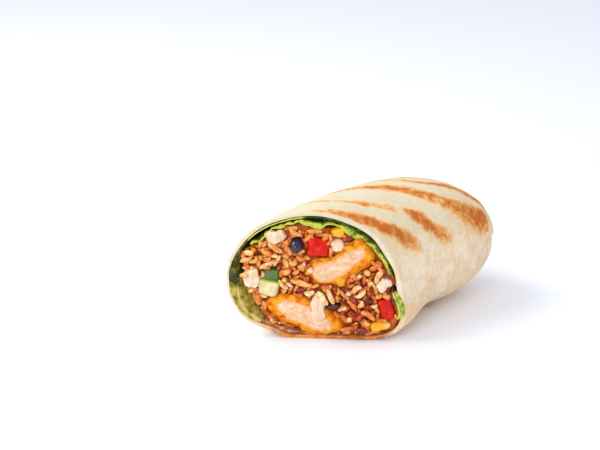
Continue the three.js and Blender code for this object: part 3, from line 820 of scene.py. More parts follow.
@dataclass(frozen=True)
class WetVegetable(Finish):
    """Raw vegetable cut into dice: smooth, wet and bright, with a skin where the "skin" attribute is 1."""

    flesh: str = "#cf0f06"  # The cut flesh.
    flesh_light: str = "#ea3418"  # Its paler parts.
    skin: str = "#b00a04"  # The skin.
    skin_edge: str = "#de1e0c"  # The rim between skin and flesh.
    roughness: float = 0.25  # How matt the flesh is.
    gloss: float = 0.25  # Weight of the wet film over it.

    def paint(self, on: Palette) -> tuple[Socket, Socket]:
        """Lays the flesh, and the skin where "skin" is high.

        Args:
            on: The material's nodes.

        Returns:
            The colour and the normal.
        """
        cells = on.add("TexNoise", {"Scale": per_mm(3), "Detail": 5.0})
        pulp = [(0.45, self.flesh), (0.72, self.flesh_light)]
        flesh = on.add("ValToRGB", {"stops": pulp}, {"Fac": cells})
        skin = on.add("Attribute", {"attribute_name": "skin"}, out="Fac")
        shell = on.add("ValToRGB", {"stops": [(0.45, self.skin_edge), (0.75, self.skin)]}, {"Fac": skin})
        on_skin = on.add("MapRange", {"span": (0.3, 0.45)}, {"Value": skin})
        colour = on.add("Mix", RGBA, {MIX_FACTOR: on_skin, MIX_A: flesh, MIX_B: shell}, MIX_RESULT)
        return colour, on.add("Bump", {"Strength": 0.25, "Distance": 0.3 * MM}, {"Height": cells})

    def shine(self) -> Shine:
        """Gives wet flesh."""
        return {
            "Roughness": self.roughness, "Specular IOR Level": 0.12, "Coat Weight": self.gloss,
            "Coat Roughness": 0.05, **lit_through(0.2, (1.0, 0.35, 0.2), 1.4),
        }


# ---------------------------------------------------------------- tortilla


@dataclass(frozen=True)
class PressMark:
    """A line that the ribbed press toasted across the roll."""

    # Places across and along the roll, each with half the line's width and its strength.
    knots: tuple[Knot, ...]

    def strength(self, places: Array) -> Array:
        """Gives how hard the line is toasted.

        Args:
            places: Points in mm, as rows of x, y and z.

        Returns:
            Strengths from 0 to about 1.
        """
        knots = np.array(self.knots)
        hardest = np.zeros(len(places))
        for start, end in zip(knots[:-1], knots[1:]):
            side, away = end[:2] - start[:2], places[:, :2] - start[:2]
            t = np.clip(away @ side / (side @ side), 0, 1)
            half, strong = start[2] + (end[2] - start[2]) * t, start[3] + (end[3] - start[3]) * t
            apart = np.linalg.norm(away - t[:, None] * side, axis=1) / half
            line = strong * (0.8 * smooth(1.75, 0.15, apart) + 0.2 * smooth(3.4, 0.8, apart))
            hardest = np.maximum(hardest, line)
        return hardest


# Lines that show: across and along the roll, half the width and the strength.
SHOWN_MARKS = (
    (
        (-24, -63, 1.4, 0.2), (-3.1, -40.4, 1.6, 0.4), (0, -37, 1.9, 0.5), (4.5, -32, 2.2, 0.7),
        (8.7, -27.4, 2.4, 0.95), (12.8, -22.7, 2.4, 1.15), (16.8, -17.9, 2.4, 1.25),
        (21.3, -12.6, 2.2, 1.3), (24.9, -7, 1.9, 1.05), (27.4, -2, 1.7, 0.8), (29.2, 1.6, 1.3, 0.5),
        (30.2, 3.5, 0.9, 0.0),
    ),
    (
        (-34, -36, 1.0, 0.0), (-22, -27, 1.4, 0.3), (-12.9, -23, 1.6, 0.4), (-5.5, -20.9, 1.7, 0.45),
        (-0.2, -17.2, 1.7, 0.45), (4.7, -13.0, 1.8, 0.5), (7.1, -10.8, 2.2, 0.85),
        (8.7, -8.8, 1.9, 0.35), (10.7, -6.2, 2.4, 0.42), (14.8, -1.2, 2.6, 0.48), (17, 1.6, 2.0, 0.25),
        (19.6, 4.2, 2.0, 0.9), (23, 7.8, 2.3, 1.2), (26.3, 10.4, 1.9, 1.15), (28.5, 13, 1.7, 0.85),
        (30.5, 16.8, 1.5, 0.7), (31.8, 21, 1.2, 0.4), (32.6, 24, 1.0, 0.0),
    ),
    (
        (-32, -22, 1.2, 0.1), (-20, -7.5, 1.6, 0.5), (-10.1, 2.5, 2.4, 0.8), (-4.7, 7, 2.7, 0.95),
        (0.4, 11.2, 2.8, 1.0), (5.9, 15, 2.7, 1.0), (11.8, 18.3, 2.6, 1.0), (17.3, 22.2, 2.5, 0.95),
        (21.9, 25.8, 2.8, 0.7), (25.4, 29.8, 3.4, 0.8), (28.6, 34.9, 3.7, 0.95), (30.6, 40.1, 3.2, 1.2),
        (31.4, 45.7, 2.4, 1.1), (31.6, 49.6, 1.4, 0.3),
    ),
    (
        (-30, -3, 1.2, 0.2), (-10.5, 18.5, 1.4, 0.4), (-1.3, 23.3, 1.6, 0.45), (6, 29.7, 1.8, 0.7),
        (10.8, 34.4, 2.0, 0.95), (14.5, 40.2, 2.2, 1.0), (17.2, 44.8, 2.2, 0.8),
        (20.6, 47.6, 2.4, 1.1), (23.6, 50.6, 2.4, 1.15), (26, 52.6, 1.9, 0.7), (27, 55, 1.2, 0.0),
    ),
)
# The press's lines on the end that doesn't show are straight and even.
HIDDEN_MARK_ENDS = ((-34, 1.5, 0.0), (-25, 1.9, 0.9), (26, 1.9, 0.9), (34, 1.5, 0.0))
HIDDEN_MARK_SLOPE = 1.1
HIDDEN_MARKS = tuple(
    tuple((x, shift + HIDDEN_MARK_SLOPE * x, half, strong) for x, half, strong in HIDDEN_MARK_ENDS)
    for shift in (38.0, 55.0, 72.0)
)
PRESS_MARKS = tuple(PressMark(knots) for knots in (*SHOWN_MARKS, *HIDDEN_MARKS))


@dataclass
class GrilledTortilla:
    """The rolled sheet: a cup that is open at the cut and folded shut at its far end."""

    thick: float = 1.6  # Thickness of the sheet.
    columns: int = 320  # Steps round the roll.
    seam_angle: float = -128.0  # Where the sheet's outer edge runs.
    seam_step: float = 1.2  # How far that edge stands out.
    seam_fade: float = 40.0  # How far round the step fades, in degrees.
    seam_pull: float = 2.2  # How far the columns crowd towards the seam, which keeps the step steep.
    inner_rows: int = 46  # Rows of points on the inside.
    outer_rows: int = 200  # Rows of points on the outside.
    folds: tuple[float, ...] = (-128.0, 9.0, 117.0)  # Angles of the tucks that close the end.
    fold_step: float = 1.3  # Their height.
    folds_from: float = 0.66  # Share of the way back at which they start.
    dimple: float = 0.4  # Height of the soft dents all over.
    dimple_size: float = 17.0  # Width of these dents.
    ripple: float = 0.16  # Height of the finer ones.
    ripple_size: float = 5.5  # Width of the finer ones.
    flap_from: float = -127.0  # Where the inner end of the sheet starts.
    flap_to: float = -84.0  # Where it leaves the wall.
    flap_gap: float = 0.7  # Gap behind it.
    flap_thick: float = 1.4  # Its thickness.
    flap_back: float = 0.6  # How far back it runs, as a share of the way.
    marks: tuple[PressMark, ...] = PRESS_MARKS  # Lines that the press left.
    bread: ToastedFlatbread = ToastedFlatbread()  # What it is made of.
    soaked: SoakedFlatbread = SoakedFlatbread()  # What its inner end is made of.

    def build(self) -> None:
        """Builds the sheet and its inner end."""
        stands_for = "tortilla"
        sheet = finish_piece(
            "tortilla_sheet", self._sheet(), self.bread.material(), [stands_for]
        )
        places = vertices_mm(sheet)
        name_values(sheet, "toast", self._toast(places))
        inside = values_of(sheet, "row") < self.inner_rows - 0.5
        name_values(sheet, "soaked", self._soaked(places, inside))
        inner_end = self._inner_end()
        finish_piece("tortilla_inner_end", inner_end, self.soaked.material(), [stands_for])

    def _relief(self, angle: Array, share: Array) -> Array:
        """Gives how far the outside stands out: the outer edge's step and the end's tucks.

        Args:
            angle: Angles round the roll.
            share: Shares of the way from the cut to the closed end.

        Returns:
            Heights in mm.
        """
        past = between(angle, self.seam_angle)
        ends = np.clip((-30 - angle) / 30, 0, 1)
        edge = np.where(past > 0, self.seam_step * np.exp(-past / self.seam_fade) * ends, 0.0)
        edge = edge * smooth(0.0, 0.07, share)
        since = np.min([np.mod(angle - fold, 360) for fold in self.folds], axis=0)
        until = np.min([360 - np.mod(angle - fold, 360) for fold in self.folds], axis=0)
        on_end = np.clip((share - self.folds_from) / (1 - self.folds_from), 0, 1)
        tucks = self.fold_step * (until / (since + until)) * np.sin(math.pi * on_end**1.5)
        return edge * np.clip((1 - share) / 0.3, 0, 1) + tucks

    def _sheet(self) -> Shape:
        """Builds the cup, from its inner tip over the lip to its outer tip.

        Returns:
            The shape, in metres.
        """
        even = np.linspace(-90, 270, self.columns + 1)
        past_seam = even - (self.seam_angle + 360)
        pull = self.seam_pull * np.exp(-((past_seam / 9) ** 2)) * np.tanh(past_seam / 2.5)
        angle = (even - pull)[None, :]
        inner = 1 - np.linspace(0, 1, self.inner_rows)[:, None] ** 0.45
        inner_skin = ROLL.along(angle, inner, self.thick)
        lip_insets = [self.thick - 0.12, self.thick * 0.72, self.thick * 0.4, 0.12]
        lips = [ROLL.along(angle, 0.0, inset, -0.06) for inset in lip_insets]
        outer = np.linspace(0, 1, self.outer_rows)[:, None] ** 1.1
        outer_skin = ROLL.along(angle, outer)
        normal_x, normal_z = np.cos(np.radians(angle)), np.sin(np.radians(angle))
        out = self._relief(np.where(angle > 180, angle - 360, angle), outer)
        soft = rumple(outer_skin, self.dimple_size, 1.0, 2) * self.dimple
        soft = soft + rumple(outer_skin, self.ripple_size, 2.0, 3) * self.ripple
        out = np.where(outer_skin[..., 2] > 0.01, out + soft * smooth(0.0, 0.02, outer), 0.0)
        outer_skin[..., 0] += out * normal_x
        outer_skin[..., 2] = np.maximum(outer_skin[..., 2] + out * normal_z, 0)
        points = np.concatenate([inner_skin, *[lip.reshape(1, -1, 3) for lip in lips], outer_skin])
        return sheet_mesh(points, closed=True)

    def _toast(self, places: Array) -> Array:
        """Gives how hard the ribbed press toasted the bread: only on the top and the underside.

        Args:
            places: Vertices in mm.

        Returns:
            Strengths from 0 to about 1.
        """
        height = places[:, 2] + rumple(places, 9, 3.0, 3) * 3.0
        pressed = np.maximum(smooth(29, 35, height), smooth(5, 2, height))
        outside = smooth(0.1, 1.2, -CUT.read(places)[:, 2])
        drift = places + np.array([0, 1, 0]) * (rumple(places, 8, 6.0, 2) * 0.9)[:, None]
        lines = np.max([mark.strength(drift) for mark in self.marks], axis=0)
        return lines * pressed * outside

    @staticmethod
    def _soaked(places: Array, inside: Array) -> Array:
        """Gives how much sauce the bread has taken up: all inside, and low at the right on the lip.

        Args:
            places: Vertices in mm.
            inside: Which of them are on the sheet's inner side.

        Returns:
            Shares from 0 to 1.
        """
        across, up, out = CUT.read(places).T
        wander = rumple(places, 5, 9.0, 3)
        low = smooth(-14, -20, up + 3 * wander) * smooth(-30, -14, across) * smooth(36, 29, across)
        lip = smooth(-2.6, -0.4, out + 1.4 * wander) * low
        return np.where(inside, np.maximum(0.55, lip), 0.92 * lip)

    def _inner_end(self) -> Shape:
        """Builds the inner end of the sheet, which leaves the wall at one side.

        Returns:
            The shape, in metres.
        """
        angle = np.linspace(self.flap_from, self.flap_to, 60)[None, :]
        merge = smooth(self.flap_to - 12, self.flap_to, angle)
        inset = self.thick + self.flap_gap * (1 - merge) + self.flap_thick / 2 - 0.3 * merge
        share = np.linspace(0, 1, 50)[:, None] ** 1.3 * self.flap_back
        ragged = 0.3 * rumple(np.stack(np.broadcast_arrays(angle, 0.0, 0.0), -1), 7, 5.0, 2)
        points = ROLL.along(angle, share, inset, ragged)
        return thickened(sheet_mesh(points), self.flap_thick)


# ---------------------------------------------------------------- leaves


def leaf_columns(start: float, stop: float) -> int:
    """Gives how many columns of points a leaf has: about two for each degree, and at least 40."""
    return max(40, int(abs(stop - start) * 2.2))


@dataclass(frozen=True)
class Dip:
    """A fold of leaf that hangs into the filling: its angle, spread in degrees and depth."""

    at: float
    spread: float
    deep: float


@dataclass
class SaladLeaf:
    """A leaf between the sheet and the filling. Its cut edge bends in over the filling."""

    name: str  # Name of the solid that it stands for.
    start: float  # Angle where it starts.
    stop: float  # Angle where it stops.
    depth: float  # How far below the sheet's outside it lies.
    back: float  # Station at which it ends.
    dips: tuple[Dip, ...] = ()  # Folds that hang into the filling.
    curl: float = 0.0  # How far its cut edge bends further in.
    curl_back: float = 2.4  # Over what distance back the edge straightens out.
    ruffle: float = 0.3  # Height of the edge's small waves.
    seed: float = 1.0  # Seed of its waves.
    thick: float = 0.5  # Thickness.
    finish: FreshLeaf = FreshLeaf()  # What it is made of.
    edge_light: float = 1.0  # How bright the painted light at its cut edge is, from 0 to 1.
    # Angles, each with how much further in the cut edge lies there, and over what distance back painted
    # shade darkens it.
    nudges: tuple[tuple[float, float, float], ...] = ((0.0, 0.0, 1.3),)
    bright_span: Pair = (-400.0, 400.0)  # Angles between which the edge is lit. Outside them painted shade darkens it.
    rows: int = 48  # Rows of points, from the cut edge back.
    shallowest: float = 1.9  # The least depth, which keeps it inside the sheet.

    def depth_at(self, angle: Array) -> Array:
        """Gives how deep the leaf's middle lies where it is cut.

        Args:
            angle: Angles round the roll.

        Returns:
            Depths in mm.
        """
        return self.depth + sum(
            (dip.deep * np.exp(-((between(angle, dip.at) / dip.spread) ** 2)) for dip in self.dips),
            np.zeros(np.shape(angle)),
        )

    def build(self) -> None:
        """Builds the leaf."""
        columns = leaf_columns(self.start, self.stop)
        step = np.linspace(0, 1, columns)[None, :]
        share = (np.linspace(0, 1, self.rows) ** 2.4)[:, None]
        angle = self.start + (self.stop - self.start) * step
        start = ROLL.station_at_cut(angle, self.depth_at(angle))
        back = (self.back - start) * share
        arc = np.stack(np.broadcast_arrays(angle * 0.5, back, 0.0), -1)
        ragged = rumple(arc, 6, self.seed, 3)
        fine = rumple(arc, 2.4, self.seed + 3, 2)
        near = np.exp(-((back / self.curl_back) ** 2))
        dip = (self.depth_at(angle) - self.depth) * (0.15 + 0.85 * near)
        ripple = self.ruffle * (fine + 0.8 * ragged) * (0.15 + 0.85 * np.exp(-back / 3))
        at, further, fade = np.array(sorted(self.nudges)).T
        nudge = np.interp(angle, at, further) * near
        inset = self.depth + dip + nudge + self.curl * (0.8 + 0.5 * ragged) * near + ripple
        station = start - 0.15 + back + (0.5 * ragged + 0.6 * self.ruffle * fine) * np.exp(-back / 3)
        inset = np.maximum(inset, self.shallowest)
        points = ROLL.point(angle, station, inset, station - ROLL.station_at_cut(angle))
        sheet = thickened(sheet_mesh(points), self.thick)
        piece = finish_piece(self.name + "_salad", sheet, self.finish.material(), [self.name])
        # The "edge" values are painted light and shade: bright at the cut edge, darker further behind the
        # cut and outside bright_span.
        depth = -CUT.read(vertices_mm(piece))[:, 2]
        turned = np.interp(values_of(piece, "column"), np.arange(columns), angle[0])
        span = smooth(self.bright_span[0] - 6, self.bright_span[0], turned)
        span = span * smooth(self.bright_span[1] + 6, self.bright_span[1], turned)
        glow = self.edge_light * np.exp(-((np.clip(depth, 0, None) / np.interp(turned, at, fade)) ** 3))
        name_values(piece, "edge", glow * (0.12 + 0.88 * span))


@dataclass
class FoldedLeaf:
    """A leaf folded towards the cut: a ridge in front, with a face sloping back on either side of it."""

    name: str  # Name of the solid that it stands for.
    # Angles, each with the insets of its outer foot, its ridge and its inner foot.
    knots: tuple[Knot, ...]
    ridge_out: float = 0.5  # How far the ridge stands out of the cut.
    outer_back: float = 1.6  # How far behind the cut the outer foot lies.
    inner_back: float = 4.6  # How far behind the cut the inner foot lies.
    finish: FreshLeaf = FreshLeaf()  # What it is made of.
    seed: float = 1.0  # Seed of its waves.
    ruffle: float = 0.3  # Height of its small waves.
    thick: float = 0.5  # Thickness.
    taper: float = 8.0  # Over how many steps its ends narrow.
    outer_glow: float = 0.6  # How bright the face outside the ridge is, from 0 to 1.
    inner_glow: float = 0.4  # How bright the face inside it is.
    shade_to: Pair = (360.0, 20.0)  # Angle towards which painted shade darkens it, and over how many degrees.

    def build(self) -> None:
        """Builds the leaf."""
        knots = np.array(self.knots)
        first, last = knots[0, 0], knots[-1, 0]
        angle = np.linspace(first, last, leaf_columns(first, last))
        knots = knots[np.argsort(knots[:, 0])]
        kernel = np.hanning(11) / np.hanning(11).sum()
        outer, ridge, inner = (
            np.convolve(np.pad(np.interp(angle, knots[:, 0], knots[:, k]), 5, "edge"), kernel, "valid")
            for k in (1, 2, 3)
        )
        from_end = np.minimum(np.arange(len(angle)), np.arange(len(angle))[::-1])
        taper = np.clip((from_end + 1) / self.taper, 0.1, 1) ** 0.6
        outer, inner = ridge + (outer - ridge) * taper, ridge + (inner - ridge) * taper
        across = np.linspace(-1, 1, 34)[:, None]
        inset = ridge + np.where(across < 0, outer - ridge, inner - ridge) * np.abs(across)
        bow = 1 - np.abs(across) ** 1.5
        foot = np.where(across < 0, self.outer_back, self.inner_back)
        recess = foot - (foot + self.ridge_out) * bow
        turn = np.broadcast_to(angle[None, :], inset.shape)
        places = np.stack([turn * 0.5, across * 4 + np.zeros_like(turn), np.zeros_like(turn)], -1)
        waves = rumple(places, 5, self.seed, 2) + 0.5 * rumple(places, 2, self.seed + 1, 2)
        points = ROLL.along(turn, 0.0, inset + waves * self.ruffle * 0.5, recess + waves * self.ruffle)
        sheet = thickened(sheet_mesh(points), self.thick)
        piece = finish_piece(self.name + "_crease", sheet, self.finish.material(), [self.name])
        side = values_of(piece, "row") / (len(across) - 1) * 2 - 1
        turned = np.interp(values_of(piece, "column"), np.arange(len(angle)), angle)
        # Painted shade darkens the leaf towards the shade_to angle.
        shaded = smooth(self.shade_to[1], 0.4 * self.shade_to[1], np.abs(turned - self.shade_to[0]))
        glow = np.where(side < 0, self.outer_glow, self.inner_glow)
        name_values(piece, "edge", (0.45 * np.exp(-((side / 0.1) ** 2)) + glow) * (1 - shaded))


OLIVE_LEAF = FreshLeaf("olive_salad_leaf", deep="#33390c", mid="#a08a28", bright="#cbbd6c", rib="#c8bc7c")
LEAVES = (
    SaladLeaf(
        "leaf_roof", 160, 4, 2.25, 48, seed=1.0, ruffle=0.12, edge_light=0.8, nudges=((0, 0, 1.1),),
        bright_span=(96, 140),
    ),
    SaladLeaf(
        "leaf_fold", 144, 6, 3.25, 34, (Dip(134, 6, 2.4), Dip(85, 9, 3.7), Dip(58, 13, 1.7)),
        curl=0.5, ruffle=1.25, seed=2.0,
        nudges=(
            (4, -0.2, 1.4), (20, -0.4, 1.7), (31, -0.1, 1.8), (46, 0.3, 1.6), (62, 0.6, 1.5),
            (71, -0.9, 1.7), (77, -1.3, 1.7), (82, -0.4, 1.2), (90, 0.0, 1.1), (144, 0.0, 1.1),
        ),
    ),
    SaladLeaf("leaf_left", 229, 166, 2.25, 30, seed=3.0, ruffle=0.12, edge_light=0.5, finish=OLIVE_LEAF),
    SaladLeaf("leaf_right", -10, -29, 2.4, 44, curl=0.4, ruffle=0.2, seed=5.0),
)
SIDE_LEAF_FOLD = Dip(206, 19, 4.6)
SIDE_LEAF_DEPTH = 3.3
FOLDED_LEAVES = (
    FoldedLeaf(
        "leaf_left_fold",
        (
            (233, 2.4, 3.0, 3.6), (228, 1.6, 3.6, 4.6), (221, 1.2, 3.6, 7.0), (211, 1.1, 3.1, 8.4),
            (202, 1.1, 3.3, 9.0), (195, 1.1, 4.1, 8.9), (187, 1.2, 5.1, 8.0), (179, 1.3, 5.1, 7.2),
            (170, 1.5, 3.8, 6.2), (162, 1.8, 3.0, 4.8), (154, 1.8, 2.2, 3.4),
        ),
        outer_back=-0.1, finish=OLIVE_LEAF, seed=4.0, shade_to=(168.0, 26.0), outer_glow=0.55,
        inner_glow=0.42,
    ),
    FoldedLeaf(
        "leaf_right",
        (
            (-8, 1.6, 2.2, 3.4), (-11, 0.8, 2.0, 4.4), (-15, 0.3, 1.4, 4.4), (-20, -0.2, 0.9, 4.0),
            (-25, -0.1, 1.0, 3.6), (-28, 0.6, 1.8, 3.0),
        ),
        ridge_out=1.5, outer_back=-0.2, inner_back=3.0, seed=6.0, ruffle=0.5, taper=14.0,
        outer_glow=0.62, inner_glow=0.4,
    ),
)


def lining_depth(angle: Array, tortilla: GrilledTortilla) -> Array:
    """Gives how far the lining of sheet, flap and leaves reaches in from the outside.

    Args:
        angle: Angles round the roll.
        tortilla: The sheet.

    Returns:
        Depths in mm.
    """
    middle = (tortilla.flap_from + tortilla.flap_to) / 2
    half = abs(tortilla.flap_from - tortilla.flap_to) / 2
    on_flap = np.abs(between(angle, middle)) < half + 6
    deepest = tortilla.thick + np.where(on_flap, tortilla.flap_gap + tortilla.flap_thick, 0.0)
    for leaf in LEAVES:
        middle, half = (leaf.start + leaf.stop) / 2, abs(leaf.start - leaf.stop) / 2
        covers = np.abs(between(angle, middle)) < half + 3
        deepest = np.maximum(deepest, np.where(covers, leaf.depth_at(angle) + leaf.thick / 2 + 0.1, 0.0))
    from_fold = between(angle, SIDE_LEAF_FOLD.at) / SIDE_LEAF_FOLD.spread
    side = SIDE_LEAF_FOLD.deep * np.exp(-(from_fold**2))
    return np.maximum(deepest, np.where(side > 0.3, SIDE_LEAF_DEPTH + side, 0.0))


# ---------------------------------------------------------------- chicken


@dataclass
class BreadedStrip:
    """A breaded chicken strip, cut with the wrap: a crumb crust round pale meat."""

    name: str  # Name of the solid that it stands for.
    outline: tuple[Pair, ...]  # The crust's outline on the cut, across and up.
    meat: tuple[Pair, ...]  # The meat's outline on the cut.
    length: float  # How far the strip runs back into the wrap.
    drift: Pair  # How far it drifts on the way.
    crag: float = 0.75  # Height of the crust's crags.
    crag_size: float = 4.0  # Width of these crags.
    crumb: float = 0.22  # Height of the crumbs on them.
    crumb_size: float = 1.3  # Width of these crumbs.
    seed: float = 3.0  # Seed of its crags.
    fibre_turn: float = 20.0  # Direction of the meat's fibres.
    face_out: float = 0.3  # How far its face stands out of the cut.
    meat_out: float = 0.7  # How far the meat stands out of the face.
    voxel: float = 0.5  # Size of its faces.

    @staticmethod
    def _curve(outline: Sequence[Pair], count: int) -> Array:
        """Gives evenly spaced points on the smooth closed curve through an outline.

        Args:
            outline: The outline's corners, across and up.
            count: How many points there are.

        Returns:
            Points, as rows of across and up. The last one is the first again.
        """
        knots = np.array(outline, float)
        t = np.linspace(0, 1, 30, endpoint=False)[:, None]
        pieces = []
        for i in range(len(knots)):
            a, b, c, d = (knots[(i + k) % len(knots)] for k in (-1, 0, 1, 2))
            square, cube = 2 * a - 5 * b + 4 * c - d, 3 * b - a - 3 * c + d
            pieces.append((2 * b + (c - a) * t + square * t**2 + cube * t**3) / 2)
        closed = np.concatenate([*pieces, pieces[0][:1]])
        length = np.concatenate([[0], np.cumsum(np.hypot(*np.diff(closed, axis=0).T))])
        at = np.linspace(0, length[-1], count + 1)
        return np.stack([np.interp(at, length, closed[:, k]) for k in (0, 1)], -1)

    def _blank(self) -> Shape:
        """Builds the smooth strip: its face on the cut and its sides, which run back and close.

        Returns:
            The shape, in metres.
        """
        rim = self._curve(self.outline, 120)
        middle = rim[:-1].mean(0)

        def ring(reach: float, drift: Array, back: float) -> Array:
            """Places a ring of this reach round the middle, moved by drift and back."""
            flat = np.insert(middle + (rim - middle) * reach + drift, 2, self.face_out, axis=1)
            return CUT.place(flat) + np.array([0.0, back, 0.0])

        rows = [ring(share, np.zeros(2), 0.0) for share in (0.0, 0.3, 0.6, 0.85, 0.97)]
        for back in np.linspace(0.4, self.length, 40):
            share = back / self.length
            close = max(0.0, 1 - max(0.0, (share - 0.72) / 0.285) ** 2) ** 0.5
            rows.append(ring((1 - 0.05 * share) * max(close, 0.02), np.array(self.drift) * share, back))
        points = np.array(rows)
        points[0] = points[0].mean(0)
        points[-1] = points[-1].mean(0)
        points[:, -1] = points[:, 0]
        return sheet_mesh(points, closed=True)

    def build(self) -> None:
        """Builds the strip with its crags and its torn meat."""
        shape = modified(self._blank(), "REMESH", mode="VOXEL", voxel_size=self.voxel * MM)
        every_way = {"use_axis_x": True, "use_axis_y": True, "use_axis_z": True}
        bmesh.ops.smooth_vert(shape, verts=shape.verts, factor=0.5, **every_way)
        shape.normal_update()
        places = np.array([v.co for v in shape.verts]) / MM
        on_cut = CUT.read(places)
        in_meat = signed_distance(on_cut[:, :2], self._curve(self.meat, 60)[:-1])
        in_crust = signed_distance(on_cut[:, :2], self._curve(self.outline, 90)[:-1])
        meat = smooth(-2.6, 0.9, in_meat) * smooth(-1.6, -0.4, on_cut[:, 2])
        skin = smooth(1.9, 0.1, in_crust + 1.2 * rumple(places, 3.0, 8.0, 2))
        crags = self.crag * rumple(places, self.crag_size, self.seed, 3)
        crags = crags + self.crumb * rumple(places, self.crumb_size, self.seed + 2, 2)
        torn = self.meat_out + 0.7 * rumple(places, 5.0, self.seed + 5, 3)
        height = crags * (1 - meat) + torn * meat
        for vertex, push in zip(shape.verts, height):
            vertex.co += vertex.normal * float(push * MM)
        finish = BreadedChicken(self.name + "_fried", fibre_turn=self.fibre_turn)
        piece = finish_piece(self.name + "_strip", shape, finish.material(), [self.name])
        name_values(piece, "meat", meat)
        name_values(piece, "rim", 0.6 * skin)


STRIPS = (
    BreadedStrip(
        "chicken_low",
        (
            (-23.3, -12), (-17.4, -8.5), (-11.2, -8.3), (-4.1, -10.6), (6, -16.9), (10.8, -20.1),
            (10, -25.1), (3, -27.4), (-5.6, -26.6), (-9.6, -23.2), (-16.6, -20.9), (-20.5, -17.7),
        ),
        (
            (-16.3, -12.7), (-11, -12.1), (-5.2, -14.2), (0.6, -17.8), (5.1, -21), (6, -23.9),
            (0.7, -24), (-6.1, -21.4), (-11.9, -18.7), (-16.3, -15.5),
        ),
        74, (3, 1.5), seed=3.0, fibre_turn=-20,
    ),
    BreadedStrip(
        "chicken_high",
        (
            (-3.5, 2.6), (-2, 8.3), (5.7, 9.4), (11.8, 14.4), (16.4, 17.7), (20.2, 16.2), (24.1, 10.7),
            (23.5, 6.6), (18.2, 2.4), (13.6, -0.2), (12.1, -4.3), (5.9, -3.7), (-0.3, -3), (-3.4, -0.7),
        ),
        (
            (-0.4, 5.1), (7.3, 7), (13.4, 11.2), (18.7, 12.9), (20.3, 11.4), (16.5, 7.2), (12, 3),
            (5.9, -0.4), (-0.3, -0.6),
        ),
        70, (-3, 0.5), seed=5.0, fibre_turn=25,
    ),
)


# ---------------------------------------------------------------- toppings


@dataclass
class Topping:
    """A piece of food that shows at the cut."""

    name: str  # Name of the solid that it stands for.
    at: Point  # Its middle on the cut: across, up and out.
    size: Point  # Its full sizes.
    turn: Point  # Turns about the cut's own three axes.
    slot: str  # The material slot that it stands for.
    seed: float  # Seed of its unevenness.

    def _place(self, shape: Shape) -> None:
        """Moves a shape from the topping's own frame, in mm, to the wrap's, in metres.

        Args:
            shape: The shape.
        """
        turns = [Matrix.Rotation(math.radians(a), 3, axis) for a, axis in zip(self.turn, "XYZ")]
        turned = turns[0] @ turns[1] @ turns[2]
        for vertex in shape.verts:
            local = turned @ vertex.co + Vector(self.at)
            vertex.co = Vector(CUT.place(local)) * MM

    def _roughen(self, shape: Shape, size: float, height: float) -> None:
        """Pushes a shape's vertices in and out, along their own normals.

        Args:
            shape: The shape, in mm.
            size: Width of the largest bumps.
            height: Their height.
        """
        shape.normal_update()
        places = np.array([v.co for v in shape.verts])
        for vertex, push in zip(shape.verts, rumple(places, size, self.seed, 3) * height):
            vertex.co += vertex.normal * float(push)


@dataclass
class VegetableDice(Topping):
    """A cube of vegetable: cut sides flat, edges soft, and a skin on one side."""

    finish: WetVegetable = WetVegetable("raw_red_pepper")  # What it is made of.
    skin_side: Point = (0.0, 0.0, -1.0)  # Direction of the skin in the topping's own frame.
    skin_from: float = 0.8  # How far towards that side the skin starts, as a share of half its size.
    rounding: float = 1.5  # How far its edges are rounded off.
    undivided: float = 1.6  # The longest edge that stays in one piece.
    uneven: float = 0.6  # Height of its unevenness.
    uneven_size: float = 4.4  # Width of its unevenness.

    def build(self) -> None:
        """Builds the dice."""
        shape = bmesh.new()
        bmesh.ops.create_cube(shape, size=1.0)
        for vertex in shape.verts:
            vertex.co = Vector([c * s for c, s in zip(vertex.co, self.size)])
        bmesh.ops.bevel(
            shape, geom=shape.edges[:], offset=self.rounding, offset_type="OFFSET", affect="EDGES",
            segments=4, profile=0.5, material=-1,
        )
        long = [edge for edge in shape.edges if edge.calc_length() > self.undivided]
        bmesh.ops.subdivide_edges(shape, edges=long, cuts=5, use_grid_fill=True)
        bmesh.ops.triangulate(shape, faces=[f for f in shape.faces if len(f.verts) > 4])
        self._roughen(shape, self.uneven_size, self.uneven)
        side = Vector(self.skin_side)
        reach = max(abs(a * s) for a, s in zip(self.skin_side, self.size)) / 2
        skin = [v.co.dot(side) / reach for v in shape.verts]
        self._place(shape)
        piece = finish_piece(self.name + "_cut", shape, self.finish.material(), [self.name])
        name_values(piece, "skin", smooth(self.skin_from - 0.25, self.skin_from + 0.25, np.array(skin)))


